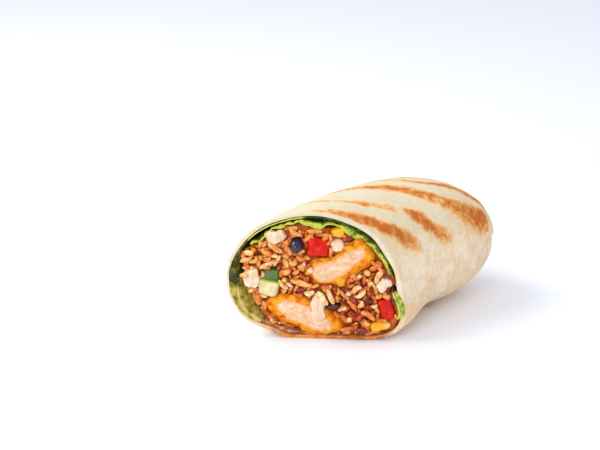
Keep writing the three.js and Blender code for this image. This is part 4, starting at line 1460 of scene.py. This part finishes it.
@dataclass
class RoundTopping(Topping):
    """A bean, a kernel or a crumb, shaped from a ball."""

    finish: TonedFood  # What it is made of.
    tone: float  # Its tone, from 0 to 1.
    lump: float = 0.1  # Height of its lumps.
    lump_size: float = 3.0  # Width of its lumps.
    taper: float = 0.0  # How much narrower it is at its left than at its right.
    boxy: float = 2.0  # 2 for an oval, and more for a blockier form.
    hollow: float = 0.0  # Depth of the hollow along its left side.
    grit: float = 0.0  # Height of its fine crumbs.
    grit_size: float = 1.3  # Width of these crumbs.
    tip_tone: float = 0.0  # How much paler its narrow end is.
    detail: int = 5  # How finely it is divided.

    def build(self) -> None:
        """Builds the topping."""
        shape = bmesh.new()
        bmesh.ops.create_icosphere(shape, subdivisions=self.detail, radius=1.0)
        half = np.array(self.size) / 2
        tones = []
        for vertex in shape.verts:
            x, y, z = vertex.co
            reach = (abs(x) ** self.boxy + abs(y) ** self.boxy + abs(z) ** self.boxy) ** (1 / self.boxy)
            x, y, z = x / reach, y / reach, z / reach
            narrow = 1 - self.taper * (0.5 - x / 2)
            dent = self.hollow * math.exp(-((y / 0.45) ** 2)) * max(0.0, -x)
            vertex.co = Vector(((x + dent) * half[0], y * narrow * half[1], z * narrow * half[2]))
            tones.append(self.tone + self.tip_tone * max(0.0, -x - 0.2))
        self._roughen(shape, self.lump_size, self.lump)
        self._roughen(shape, self.grit_size, self.grit)
        self._place(shape)
        piece = finish_piece(self.name + "_piece", shape, self.finish.material(), [self.name])
        name_values(piece, "tone", np.array(tones))


RED_PEPPER = WetVegetable("raw_red_pepper")
GREEN_VEGETABLE = WetVegetable(
    "green_skinned_vegetable", "#dcc98c", "#eee0b8", "#46660a", "#94b828", roughness=0.28, gloss=0.45
)
BEAN_SKIN = TonedFood(
    "boiled_black_bean_skin", Tone.BEAN, mottle=0.2, roughness=0.25, gloss=0.7, glow=0.0, bump=0.05
)
DARK_SKIN = TonedFood(
    "cooked_dark_red_bit", Tone.MAROON, mottle=0.3, roughness=0.3, gloss=0.5, glow=0.05, bump=0.2
)
CORN_SKIN = TonedFood(
    "boiled_corn_kernel", Tone.CORN, mottle=0.08, roughness=0.3, gloss=0.4, glow=0.25, bump=0.05
)
WHITE_CHEESE = TonedFood(
    "crumbled_white_cheese", Tone.CHEESE, mottle=0.5, mottle_size=3.5, roughness=0.55, gloss=0.1,
    glow=0.3, bump=0.25, bump_size=1.0,
)


def cheese(name: str, at: Point, size: Point, turn: float, seed: float, lump: float = 1.3) -> RoundTopping:
    """Describes a crumb of soft white cheese.

    Args:
        name: Name of the solid that it stands for.
        at: Its middle on the cut.
        size: Its full sizes.
        turn: Its turn in the cut.
        seed: Seed of its lumps.
        lump: Their height.

    Returns:
        The topping.
    """
    return RoundTopping(
        name, at, size, (0, 0, turn), "cheese", seed, WHITE_CHEESE, 0.72, lump=lump, lump_size=4.6,
        boxy=3.4, grit=0.3,
    )


TOPPINGS = (
    VegetableDice(
        "pepper_top", (0, 13.7, -2.6), (9.4, 8.6, 7.4), (-8, 10, -2), "red_pepper", 1.0, RED_PEPPER
    ),
    VegetableDice(
        "pepper_right", (30.4, -14.2, -3.0), (6.2, 10.6, 7.6), (4, 14, 16), "red_pepper", 2.0, RED_PEPPER
    ),
    VegetableDice(
        "green_dice", (-20.6, -3.2, -2.4), (8.4, 12.6, 7.2), (-16, -10, -10), "green_vegetable", 3.0,
        GREEN_VEGETABLE, (0.0, 1.0, 0.0), 0.0,
    ),
    RoundTopping(
        "black_bean", (-9.0, 14.4, -0.6), (6.2, 6.3, 9.0), (14, -12, 0), "black_bean", 4.0, BEAN_SKIN,
        0.4, lump=0.12, hollow=0.1,
    ),
    RoundTopping(
        "bean_low", (7.2, -13.4, -0.2), (5.6, 3.8, 4.4), (0, 0, 6), "black_bean", 5.0, DARK_SKIN, 0.4,
        lump=0.7,
    ),
    RoundTopping(
        "bean_right", (33.6, -5.6, -1.8), (2.6, 4.8, 4.6), (0, 0, 8), "black_bean", 6.0, DARK_SKIN, 0.4,
        lump=0.6,
    ),
    RoundTopping(
        "corn_top", (8.9, 20.7, -1.2), (6.2, 4.8, 5.2), (10, 0, 4), "corn", 7.0, CORN_SKIN, 0.4,
        lump=0.2, taper=0.3, boxy=2.8,
    ),
    RoundTopping(
        "corn_right", (28.2, -22.2, -0.4), (9.0, 5.6, 4.8), (0, 10, 186), "corn", 8.0, CORN_SKIN, 0.42,
        lump=0.25, taper=0.45, boxy=2.8, tip_tone=0.6,
    ),
    cheese("cheese_top", (8.9, 14.7, -2.0), (6.2, 5.4, 6.0), 10, 9.0, 0.7),
    cheese("cheese_high", (-18.4, 18.0, -1.0), (8.8, 5.8, 6.4), 24, 10.0),
    cheese("cheese_left", (-29.0, -1.4, -1.0), (6.2, 9.6, 6.4), 6, 11.0),
    cheese("cheese_right", (29.2, -2.4, -0.8), (5.6, 5.8, 5.6), 40, 12.0),
    cheese("cheese_low", (1.0, -14.8, 0.4), (5.6, 15.4, 3.6), 2, 13.0),
)


# ---------------------------------------------------------------- rice and what is in it


@dataclass
class Pile:
    """A map of how far the filling stands out of the cut, on which loose food is laid."""

    cell: float = 0.4  # Width of a square of the map.
    half: Pair = (43.0, 33.0)  # Half its width and height.
    deepest: float = -12.0  # Faces deeper than this don't count.
    empty: float = -30.0  # Height where nothing lies yet.
    wall: float = 40.0  # Height outside the filling, so that nothing comes to lie there.
    height: Array = field(init=False)  # Heights out of the cut, by up and across.
    kept: Array = field(init=False)  # Where nothing is scattered, so that what lies there shows.

    def __post_init__(self) -> None:
        """Starts with nothing on the map."""
        shape = [int(2 * h / self.cell) + 1 for h in self.half]
        self.height = np.full((shape[1], shape[0]), self.empty)
        self.kept = np.zeros(self.height.shape, bool)

    def grid(self) -> tuple[Array, Array]:
        """Gives each square's place across and up, as rows x columns."""
        up, across = np.indices(self.height.shape)
        return across * self.cell - self.half[0], up * self.cell - self.half[1]

    def _cells(self, across: Array, up: Array) -> tuple[Array, Array]:
        """Gives the rows and columns of the map at places.

        Args:
            across: Places across.
            up: Places up.

        Returns:
            Rows and columns.
        """
        column = np.rint((np.asarray(across) + self.half[0]) / self.cell).astype(int)
        row = np.rint((np.asarray(up) + self.half[1]) / self.cell).astype(int)
        return np.clip(row, 0, self.height.shape[0] - 1), np.clip(column, 0, self.height.shape[1] - 1)

    def look(self, across: Array, up: Array) -> Array:
        """Gives the heights at places."""
        return self.height[self._cells(across, up)]

    def is_kept(self, across: Array, up: Array) -> Array:
        """Says whether places are kept free."""
        return self.kept[self._cells(across, up)]

    def raise_to(self, across: Array, up: Array, out: Array) -> None:
        """Raises the map to at least these heights at places."""
        np.maximum.at(self.height, self._cells(across, up), out)

    def cover(self, piece: Piece, keep: bool = False) -> None:
        """Raises the map by the faces of a piece.

        Args:
            piece: The piece.
            keep: Whether nothing is scattered over the middle of it.
        """
        places = CUT.read(vertices_mm(piece))
        before = self.height.copy()
        for face in piece.data.polygons:
            corners = places[list(face.vertices)]
            if corners[:, 2].max() < self.deepest:
                continue
            steps = int(math.ceil(np.ptp(corners[:, :2], axis=0).max() / self.cell)) + 1
            along = np.linspace(0, 1, steps + 1)[:, None]
            third, last = corners[-2 if len(corners) > 3 else -1], corners[-1]
            first = corners[0] + (corners[1] - corners[0]) * along
            second = last + (third - last) * along
            spots = (first[:, None] * (1 - along) + second[:, None] * along).reshape(-1, 3)
            self.raise_to(spots[:, 0], spots[:, 1], spots[:, 2])
        if keep:
            own = (self.height > before + 0.2) & (self.height > -4)
            for _ in range(2):
                own[1:-1, 1:-1] &= own[:-2, 1:-1] & own[2:, 1:-1] & own[1:-1, :-2] & own[1:-1, 2:]
            self.kept |= own


@dataclass(frozen=True)
class Grain:
    """A loose piece as it lies: its middle, turn, slope, sizes, tone and form."""

    across: float
    up: float
    out: float
    turn: float
    slope: float
    length: float
    width: float
    tone: float
    form: int


class Loose(Enum):
    """The kinds of loose food, by the names of their pieces."""

    RICE = "rice_grains"
    MASH = "rice_mash"
    RELISH = "pepper_relish"
    QUINOA = "red_quinoa"
    CRUMBS = "crust_crumbs"


@dataclass
class LooseFood:
    """Many small pieces of one kind, laid on the pile and joined into one mesh."""

    kind: Loose  # Which kind it is.
    finish: TonedFood  # What it is made of.
    length: float  # Their usual length.
    width: float  # Their usual width.
    shortest: float = 0.7  # The shortest one, as a share of the usual length.
    flatness: float = 0.85  # Their thickness, as a share of their width.
    bend: float = 0.06  # How bent they are, as a share of their length.
    # How blunt their ends are, one number for each form. 2 is an ellipse.
    blunt: tuple[float, ...] = (2.2, 2.6, 3.4, 5.0, 2.8, 7.0, 3.0, 2.4)
    lumpy: float = 0.22  # Height of their lumps.
    segments: int = 12  # Sides round each piece.
    rings: int = 11  # Rings along each piece.
    seed: int = 5  # Seed of the random draws.
    laid: list[Grain] = field(default_factory=list)  # The pieces that have been laid.

    def __post_init__(self) -> None:
        """Starts the random draws."""
        self.random = random.Random(self.seed)

    def lay(
        self,
        pile: Pile,
        spot: Pair,
        turn: float,
        tone: float,
        top: float,
        length: float = 0.0,
        scale: float = 1.0,
        anywhere: bool = False,
    ) -> None:
        """Lays one piece on the pile where it would come to rest, or leaves it out.

        Args:
            pile: The pile.
            spot: Its middle, across and up the cut.
            turn: Its turn in the cut, in degrees.
            tone: Its tone.
            top: How far out of the cut it may stand.
            length: Its length, or 0 for any.
            scale: Its size, as a share of the usual one.
            anywhere: Whether it may lie on places that are kept free.
        """
        across, up = spot
        if not anywhere and bool(pile.is_kept(across, up)):
            return
        length = length or self.length * scale * self.random.uniform(self.shortest, 1.12)
        width = self.width * scale * self.random.uniform(0.72, 1.15)
        along = np.linspace(-0.5, 0.5, 9) * length
        radius = width / 2 * self.flatness * (1 - np.abs(along / length * 2) ** 2.6) ** 0.5
        cos, sin = math.cos(math.radians(turn)), math.sin(math.radians(turn))
        sides = [
            pile.look(across + along * cos - side * sin, up + along * sin + side * cos)
            for side in (-width * 0.22, 0.0, width * 0.22)
        ]
        support = np.max(sides, axis=0)
        if support.max() > top:
            return
        if not anywhere and pile.is_kept(across + along * cos, up + along * sin).mean() > 0.12:
            return
        tilt = np.polyfit(along, support, 1)[0] + self.random.gauss(0, 0.12)
        slope = float(np.clip(tilt, -0.5, 0.5))
        out = float(np.max(support - slope * along + radius * 0.3))
        if out + width * 0.3 > top:
            return
        form = self.random.randrange(len(self.blunt))
        self.laid.append(Grain(across, up, out, turn, slope, length, width, tone, form))
        for side in np.linspace(-0.5, 0.5, 7) * width:
            cover = radius * math.sqrt(max(0.0, 1 - (side / (width / 2)) ** 2))
            places_across = across + along * cos - side * sin
            places_up = up + along * sin + side * cos
            pile.raise_to(places_across, places_up, out + slope * along + cover)

    def _form(self, number: int) -> tuple[Array, Array]:
        """Builds one form of the piece, at its usual size.

        Args:
            number: Which form.

        Returns:
            Its vertices in mm and its faces, as triangles.
        """
        shape = bmesh.new()
        bmesh.ops.create_uvsphere(shape, u_segments=self.segments, v_segments=self.rings, radius=0.5)
        bmesh.ops.triangulate(shape, faces=shape.faces)
        vertices = np.array([v.co for v in shape.verts])[:, [2, 0, 1]]
        faces = np.array([[v.index for v in face.verts] for face in shape.faces])
        shape.free()
        x = vertices[:, 0].copy()
        plump = np.sqrt(np.maximum(1 - np.abs(2 * x) ** self.blunt[number], 0.0))
        vertices[:, 1:] *= (plump / np.sqrt(np.maximum(1 - (2 * x) ** 2, 1e-9)))[:, None]
        vertices *= [self.length, self.width, self.width * self.flatness]
        vertices[:, 1] += (number % 3 - 1) * self.bend * self.length * (1 - (2 * x) ** 2)
        lumps = rumple(vertices, self.width * 0.8, self.seed + number * 1.7, 3) * self.lumpy
        out = vertices * [0.25, 1, 1]
        out /= np.linalg.norm(out, axis=1, keepdims=True) + 1e-9
        return vertices + out * lumps[:, None], faces

    def build(self) -> None:
        """Joins all the pieces that were laid into one mesh."""
        forms = [self._form(number) for number in range(len(self.blunt))]
        count = len(forms[0][0])
        points = []
        for grain in self.laid:
            sizes = [grain.length / self.length, grain.width / self.width, grain.width / self.width]
            x, y, z = (forms[grain.form][0] * sizes).T
            tip = math.atan(grain.slope)
            x, z = x * math.cos(tip) - z * math.sin(tip), x * math.sin(tip) + z * math.cos(tip)
            cos, sin = math.cos(math.radians(grain.turn)), math.sin(math.radians(grain.turn))
            placed = [grain.across + x * cos - y * sin, grain.up + x * sin + y * cos, grain.out + z]
            points.append(CUT.place(np.stack(placed, -1)))
        faces = np.concatenate([forms[grain.form][1] + i * count for i, grain in enumerate(self.laid)])
        data = bpy.data.meshes.new(self.kind.value)
        data.from_pydata((np.concatenate(points) * MM).tolist(), [], faces.tolist())
        piece = finish_piece(self.kind.value, data, self.finish.material(), ["rice"])
        name_values(piece, "tone", np.repeat([grain.tone for grain in self.laid], count))
        log.info("%s: %d pieces", self.kind.value, len(self.laid))


@dataclass(frozen=True)
class Round:
    """A round of loose food of one kind, thrown on the pile at random."""

    kind: Loose  # The kind.
    count: int  # How many pieces are thrown. Some find no place.
    top: float  # How far out of the cut they may stand.
    tones: Pair = (0.0, 1.0)  # The least and the greatest tone.
    scales: Pair = (1.0, 1.0)  # The least and the greatest size, as shares of the usual one.
    around: Knot | None = None  # Middle and spread, each across and up, or None for the lowest places.


UNDER_THE_RICE = (
    Round(Loose.RELISH, 70, 0.0, scales=(0.85, 0.85), around=(14, -9, 12, 9)),
    Round(Loose.MASH, 420, 0.4, (0.0, 0.9), (0.7, 1.2)),
)
AMONG_THE_RICE = (
    Round(Loose.RELISH, 60, 1.6, (0.35, 1.0), (0.5, 0.95), (17, -19, 7, 4.5)),
    Round(Loose.CRUMBS, 26, 2.0, (0.1, 0.7), (0.9, 1.5), (-28, 10, 3.5, 3.5)),
)
OVER_THE_RICE = (
    Round(Loose.MASH, 220, 1.7, (0.1, 1.0), (0.5, 1.0)),
    Round(Loose.RICE, 60, 2.2, (0.4, 0.8), (0.8, 0.8)),
    Round(Loose.QUINOA, 110, 2.0, scales=(0.6, 1.0), around=(8, -4, 18, 13)),
    Round(Loose.CRUMBS, 60, 2.0, scales=(0.35, 0.9), around=(-2, 0, 20, 13)),
)

# Grains and crumbs that stand out on the cut: across, up, turn, length and tone.
PROMINENT = (
    (-9.5, 20.9, 141, 6.8, 0.68), (-18.4, 13.5, 147, 7.6, 0.64), (-21.8, 5.4, 22, 8.0, 0.86),
    (-18.6, 9.2, 158, 3.6, 0.84), (-12.8, 12.0, 117, 4.8, 0.60), (-30.0, 10.9, 5, 4.7, 0.80),
    (-26.0, 12.0, 143, 5.5, 0.84), (-31.3, 7.4, 17, 5.6, 0.74), (-26.2, 7.3, 106, 5.1, 0.42),
    (-22.2, 8.5, 23, 4.3, 0.40), (-13.4, 6.1, 111, 3.5, 0.70), (-10.4, 6.9, 175, 3.6, 0.60),
    (-6.9, 5.4, 38, 4.2, 0.84), (-3.3, 3.9, 47, 2.8, 0.92), (-1.4, 21.3, 177, 7.1, 0.52),
    (-13.9, 16.3, 29, 3.1, 0.34), (-21.7, 11.2, 162, 4.3, 0.36), (-13.9, 3.1, 15, 5.1, 0.50),
    (-7.0, 9.2, 162, 4.6, 0.40), (3.6, 19.4, 2, 3.3, 0.50), (26.1, 7.0, 152, 5.2, 0.44),
    (22.0, 2.9, 158, 3.6, 0.72), (27.8, 4.0, 122, 4.0, 0.62), (30.8, 4.3, 124, 3.8, 0.55),
    (-14.8, -3.5, 134, 6.0, 0.82), (-7.0, -2.5, 164, 9.0, 0.74), (-8.2, -8.0, 176, 4.2, 0.42),
    (-3.5, -6.9, 14, 5.4, 0.88), (-26.9, -10.4, 111, 5.0, 0.50), (-23.0, -18.9, 105, 3.7, 0.72),
    (-32.1, 0.6, 9, 4.6, 0.62), (2.7, -9.0, 128, 7.5, 0.97), (6.1, -8.6, 114, 7.7, 0.90),
    (13.7, -7.4, 167, 2.8, 0.90), (17.8, -4.8, 44, 5.2, 0.84), (20.4, -1.6, 44, 4.7, 0.58),
    (19.3, -6.7, 40, 5.7, 0.94), (27.3, 1.0, 65, 6.8, 0.82), (23.8, -2.3, 38, 2.7, 0.88),
    (19.3, -11.5, 60, 3.8, 0.86), (15.6, -12.7, 137, 6.1, 0.45), (22.6, -16.8, 149, 7.3, 0.50),
    (27.5, -7.9, 20, 3.8, 0.56), (11.4, -14.3, 19, 4.1, 0.80), (13.0, -23.1, 14, 5.4, 0.44),
    (22.6, -20.2, 144, 3.1, 0.68), (14.7, -18.8, 33, 2.6, 0.72), (15.8, 1.4, 35, 3.2, 0.40),
    (14.7, -1.6, 39, 3.8, 0.36),
)

# Dark red bits of cooked pepper and quinoa: across, up, turn and length.
DARK_BITS = (
    (-6.9, 22.9, 143, 3.9), (-12.4, 19.0, 135, 2.0), (13.7, 18.1, 172, 3.3), (17.1, 18.2, 179, 3.0),
    (23.6, -5.7, 135, 2.8), (16.1, -9.7, 150, 3.9), (23.1, -10.3, 155, 4.0), (23.2, -13.2, 151, 3.5),
    (20.0, -24.3, 167, 5.0), (35.0, -2.9, 117, 4.5), (-7.3, -5.6, 10, 3.9), (-17.9, -8.6, 36, 3.1),
    (23.6, 1.7, 29, 2.5), (-16.0, 5.1, 134, 2.0), (15.9, -17.6, 143, 2.8), (-17.5, 20.6, 160, 3.0),
)


@dataclass
class Filling:
    """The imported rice: a dark wet core, grains over it and small things among them."""

    tortilla: GrilledTortilla  # The sheet round it.
    recess: float = 2.4  # How far the core stands behind the cut.
    clear: float = 0.4  # Clearance to the lining.
    grains: int = 640  # How many grains are laid at random.
    tries: int = 12000  # How many are tried at most.
    rice_top: float = 0.7  # How far out of the cut these grains may stand.
    dark_bit_top: float = 2.8  # The same for the dark bits.
    prominent_top: float = 3.6  # The same for the grains that stand out.
    reach: Pair = (40.0, 29.0)  # How far out food is thrown, across and up.
    usual_tone: float = 0.53  # The usual tone of a grain.
    tone_spread: float = 0.16  # How far it strays from that.
    seed: int = 8  # Seed of the random draws.

    def __post_init__(self) -> None:
        """Starts the random draws."""
        self.draw = random.Random(self.seed)

    def _room(self, angle: Array) -> Array:
        """Gives how far inside the sheet's outside the filling ends, at angles round the roll."""
        depths = [lining_depth(angle + off, self.tortilla) for off in (-6, -3, 0, 3, 6)]
        return np.max(depths, axis=0) + self.clear

    def _core(self) -> Piece:
        """Builds the dark wet mass behind the loose grains.

        Returns:
            The new piece.
        """
        angle = np.linspace(-90, 270, 181)
        room = self._room(angle)
        lip = ROLL.along(angle, 0.0, room, self.recess)
        middle = lip[:-1].mean(0)
        rows = []
        for share in np.linspace(0, 1, 60)[:-1]:
            row = middle + (lip - middle) * share
            lumps = 1.1 * rumple(row, 3.2, 7.0, 3) - 0.2
            rows.append(row + CUT.out * (lumps * (1 - share**8))[:, None])
        for share in (0.0, 0.02, 0.05, 0.1, 0.2, 0.35, 0.55, 0.75, 0.9, 0.97):
            rows.append(ROLL.along(angle, share * 0.98, room, self.recess))
        rows.append(np.broadcast_to(rows[-1][:-1].mean(0), rows[0].shape))
        points = np.array(rows)
        points[0] = points[0].mean(0)
        points[:, -1] = points[:, 0]
        finish = TonedFood(
            "sauce_soaked_rice_mass", Tone.CORE, mottle=0.45, mottle_size=2.5, roughness=0.35, gloss=0.4,
            glow=0.15, bump=0.5, bump_size=1.6,
        )
        shape = sheet_mesh(points, closed=True)
        piece = finish_piece("rice_core", shape, finish.material(), ["rice"])
        name_values(piece, "tone", np.full(len(piece.data.vertices), 0.4))
        return piece

    def _grain_tone(self, across: float, up: float) -> float:
        """Draws a grain's tone: redder low on the right, and more golden at the left.

        Args:
            across: The grain's place across.
            up: Its place up.

        Returns:
            The tone.
        """
        reddish = math.exp(-(((across - 17) / 10) ** 2) - ((up + 16) / 8) ** 2)
        golden = math.exp(-(((across + 23) / 11) ** 2) - ((up - 9) / 11) ** 2)
        usual = self.usual_tone + 0.17 * golden - 0.28 * reddish
        return min(0.95, max(0.04, self.draw.gauss(usual, self.tone_spread)))

    def build(self, covered: Iterable[Piece]) -> None:
        """Builds the filling round what is already in the cut.

        Args:
            covered: The pieces that already lie in the cut.
        """
        pile = Pile()
        pile.cover(self._core())
        for piece in covered:
            pile.cover(piece, keep=True)
        across, up = pile.grid()
        angle = np.linspace(-180, 180, 181)
        rim = CUT.read(ROLL.along(angle, 0.0, self._room(angle) - 0.3))[:, :2]
        centre = rim.mean(0)
        rim_angle = np.degrees(np.arctan2(rim[:, 1] - centre[1], rim[:, 0] - centre[0]))
        order = np.argsort(rim_angle)
        reach = np.hypot(*(rim - centre).T)[order]
        around = np.degrees(np.arctan2(up - centre[1], across - centre[0]))
        limit = np.interp(around, rim_angle[order], reach, period=360)
        pile.height[np.hypot(across - centre[0], up - centre[1]) > limit] = pile.wall
        self._loose(pile)

    @staticmethod
    def _kinds() -> dict[Loose, LooseFood]:
        """Describes each kind of loose food, before any of it is laid.

        Returns:
            The kinds.
        """
        grain = TonedFood(
            "seasoned_rice_grain", Tone.RICE, mottle=0.34, mottle_size=2.2, glow=0.3, depth=0.8,
            gloss=0.4, bump=0.2,
        )
        broken = TonedFood("broken_rice_in_sauce", Tone.MASH, 0.4, 1.6, gloss=0.5, glow=0.25)
        pepper = TonedFood("cooked_pepper_relish", Tone.RELISH, mottle=0.3, gloss=0.6, glow=0.15)
        seed = TonedFood("boiled_red_quinoa", Tone.QUINOA, mottle=0.2, gloss=0.5, glow=0.05)
        crumb = TonedFood("loose_crust_crumb", Tone.CRUMB, mottle=0.3, gloss=0.2, roughness=0.5)
        small = {"segments": 9, "rings": 8}
        kinds = (
            LooseFood(Loose.RICE, grain, 7.2, 2.35, shortest=0.42, bend=0.09, lumpy=0.18, seed=21),
            LooseFood(Loose.MASH, broken, 4.2, 1.8, 0.55, bend=0.05, lumpy=0.3, seed=25, **small),
            LooseFood(Loose.RELISH, pepper, 4.6, 3.2, bend=0.0, lumpy=0.45, seed=22),
            LooseFood(Loose.QUINOA, seed, 1.9, 1.8, bend=0.0, segments=9, rings=7, seed=23),
            LooseFood(
                Loose.CRUMBS, crumb, 2.8, 2.2, bend=0.0, blunt=(3.0, 5.0, 2.4), lumpy=0.5, seed=24, **small
            ),
        )
        return {food.kind: food for food in kinds}

    def _low_spot(self, pile: Pile) -> Pair:
        """Draws three places on the pile and gives the lowest of them.

        Args:
            pile: The pile.

        Returns:
            The place, across and up.
        """
        draw = self.draw.uniform
        wide, high = self.reach
        spots = [(draw(-wide, wide), draw(-high, high)) for _ in range(3)]
        return min(spots, key=lambda spot: float(pile.look(*spot)))

    def _throw(self, pile: Pile, food: LooseFood, thrown: Round) -> None:
        """Throws a round of loose food on the pile.

        Args:
            pile: The pile.
            food: The food.
            thrown: What is thrown, and where.
        """
        draw = self.draw
        for _ in range(thrown.count):
            if thrown.around:
                across, up, wide, high = thrown.around
                spot = draw.gauss(across, wide), draw.gauss(up, high)
            else:
                spot = self._low_spot(pile)
            turn, tone = draw.uniform(0, 180), draw.uniform(*thrown.tones)
            least, most = thrown.scales
            scale = draw.uniform(least, most) if least < most else least
            food.lay(pile, spot, turn, tone, thrown.top, scale=scale)

    def _loose(self, pile: Pile) -> None:
        """Lays grains, quinoa and bits on the pile and builds them.

        Args:
            pile: The pile.
        """
        kinds = self._kinds()
        rice, relish = kinds[Loose.RICE], kinds[Loose.RELISH]
        for thrown in UNDER_THE_RICE:
            self._throw(pile, kinds[thrown.kind], thrown)
        tries = 0
        while len(rice.laid) < self.grains and tries < self.tries:
            tries += 1
            spot = self._low_spot(pile)
            turn = self.draw.uniform(0, 180)
            rice.lay(pile, spot, turn, self._grain_tone(*spot), self.rice_top)
        for thrown in AMONG_THE_RICE:
            self._throw(pile, kinds[thrown.kind], thrown)
        for across, up, turn, length in DARK_BITS:
            tone, scale = self.draw.uniform(0, 0.35), length / relish.length
            relish.lay(pile, (across, up), turn, tone, self.dark_bit_top, length, scale, anywhere=True)
        for across, up, turn, length, tone in PROMINENT:
            rice.lay(pile, (across, up), turn, tone, self.prominent_top, length, anywhere=True)
        for thrown in OVER_THE_RICE:
            self._throw(pile, kinds[thrown.kind], thrown)
        for food in kinds.values():
            food.build()


# ---------------------------------------------------------------- studio


@dataclass
class Studio:
    """A white floor, soft light and the camera."""

    turn: float = 43.0  # How far round the camera stands.
    rise: float = 21.0  # How far above level it looks down from.
    away: float = 600.0  # Its distance from the middle of the cut.
    pixels_per_mm: float = 2.27  # Size of the picture at the middle of the cut.
    picture: Pair = (600.0, 450.0)  # Width and height of the picture in pixels.
    cut_seen_at: Pair = (317.0, 277.0)  # Where the middle of the cut is in the picture.
    sensor: float = 36.0  # Width of the camera's sensor.
    floor: float = 3000.0  # Half the width of the floor.
    daylight: float = 0.81  # Strength of the light from all round.

    def camera(self) -> None:
        """Sets the camera where the photographer's stood."""
        turn, rise = math.radians(self.turn), math.radians(self.rise)
        look = Vector((-math.sin(turn) * math.cos(rise), math.cos(turn) * math.cos(rise), -math.sin(rise)))
        right = Vector((math.cos(turn), math.sin(turn), 0))
        up = right.cross(look)
        off = (Vector(self.cut_seen_at) - Vector(self.picture) / 2) / self.pixels_per_mm
        eye = Vector(CUT.middle) - look * self.away - right * off.x + up * off.y
        data = bpy.data.cameras.new("camera")
        data.sensor_width = self.sensor
        data.lens = self.away * self.pixels_per_mm / self.picture[0] * self.sensor
        data.clip_start, data.clip_end = 0.01, 20
        camera = bpy.data.objects.new("camera", data)
        turned = Matrix((right, up, -look)).transposed().to_4x4()
        camera.matrix_world = Matrix.Translation(eye * MM) @ turned
        bpy.context.scene.collection.objects.link(camera)
        bpy.context.scene.camera = camera

    def lamp(self, name: str, place: Point, width: float, watts: float) -> None:
        """Hangs a square soft box that faces the wrap.

        Args:
            name: Its name.
            place: Where it hangs, in mm.
            width: Its width, in mm.
            watts: Its power.
        """
        data = bpy.data.lights.new(name, "AREA")
        data.size = width * MM
        data.energy = watts
        lamp = bpy.data.objects.new(name, data)
        lamp.location = Vector(place) * MM
        aim = Vector((0, 0, 25)) * MM - lamp.location
        lamp.rotation_euler = aim.to_track_quat("-Z", "Y").to_euler()
        bpy.context.scene.collection.objects.link(lamp)

    def build(self) -> None:
        """Builds the floor, the light and the camera."""
        floor = bmesh.new()
        bmesh.ops.create_grid(floor, x_segments=2, y_segments=2, size=self.floor * MM)
        data = bpy.data.meshes.new("floor")
        floor.to_mesh(data)
        floor.free()
        material = bpy.data.materials.new("matt_white_paper")
        material.use_nodes = True
        shader = material.node_tree.nodes["Principled BSDF"]
        shader.inputs["Base Color"].default_value = linear("#fafbff")
        shader.inputs["Roughness"].default_value = 0.9
        data.materials.append(material)
        ground = bpy.data.objects.new("floor", data)
        bpy.context.scene.collection.objects.link(ground)
        ground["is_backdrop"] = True
        self.lamp("key_light", (-420, -260, 600), 440, 3.3)
        self.lamp("front_light", (260, -700, 420), 500, 2.2)
        world = bpy.data.worlds.new("studio")
        world.use_nodes = True
        world.node_tree.nodes["Background"].inputs["Color"].default_value = linear("#f3f7ff")
        world.node_tree.nodes["Background"].inputs["Strength"].default_value = self.daylight
        bpy.context.scene.world = world
        bpy.context.scene.view_settings.view_transform = "Standard"
        self.camera()


# ---------------------------------------------------------------- main


def main() -> None:
    """Builds the wrap piece by piece, then the studio round it."""
    logging.basicConfig(level=logging.INFO, format="%(name)s %(message)s")
    Studio().build()
    tortilla = GrilledTortilla()
    tortilla.build()
    for leaf in (*LEAVES, *FOLDED_LEAVES):
        leaf.build()
    for strip in STRIPS:
        strip.build()
    for topping in TOPPINGS:
        topping.build()
    lying = [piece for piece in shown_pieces() if not piece.name.startswith("tortilla")]
    shown = [piece for piece in lying if piece.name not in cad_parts]
    Filling(tortilla).build(shown)


if __name__ == "__main__":
    main()
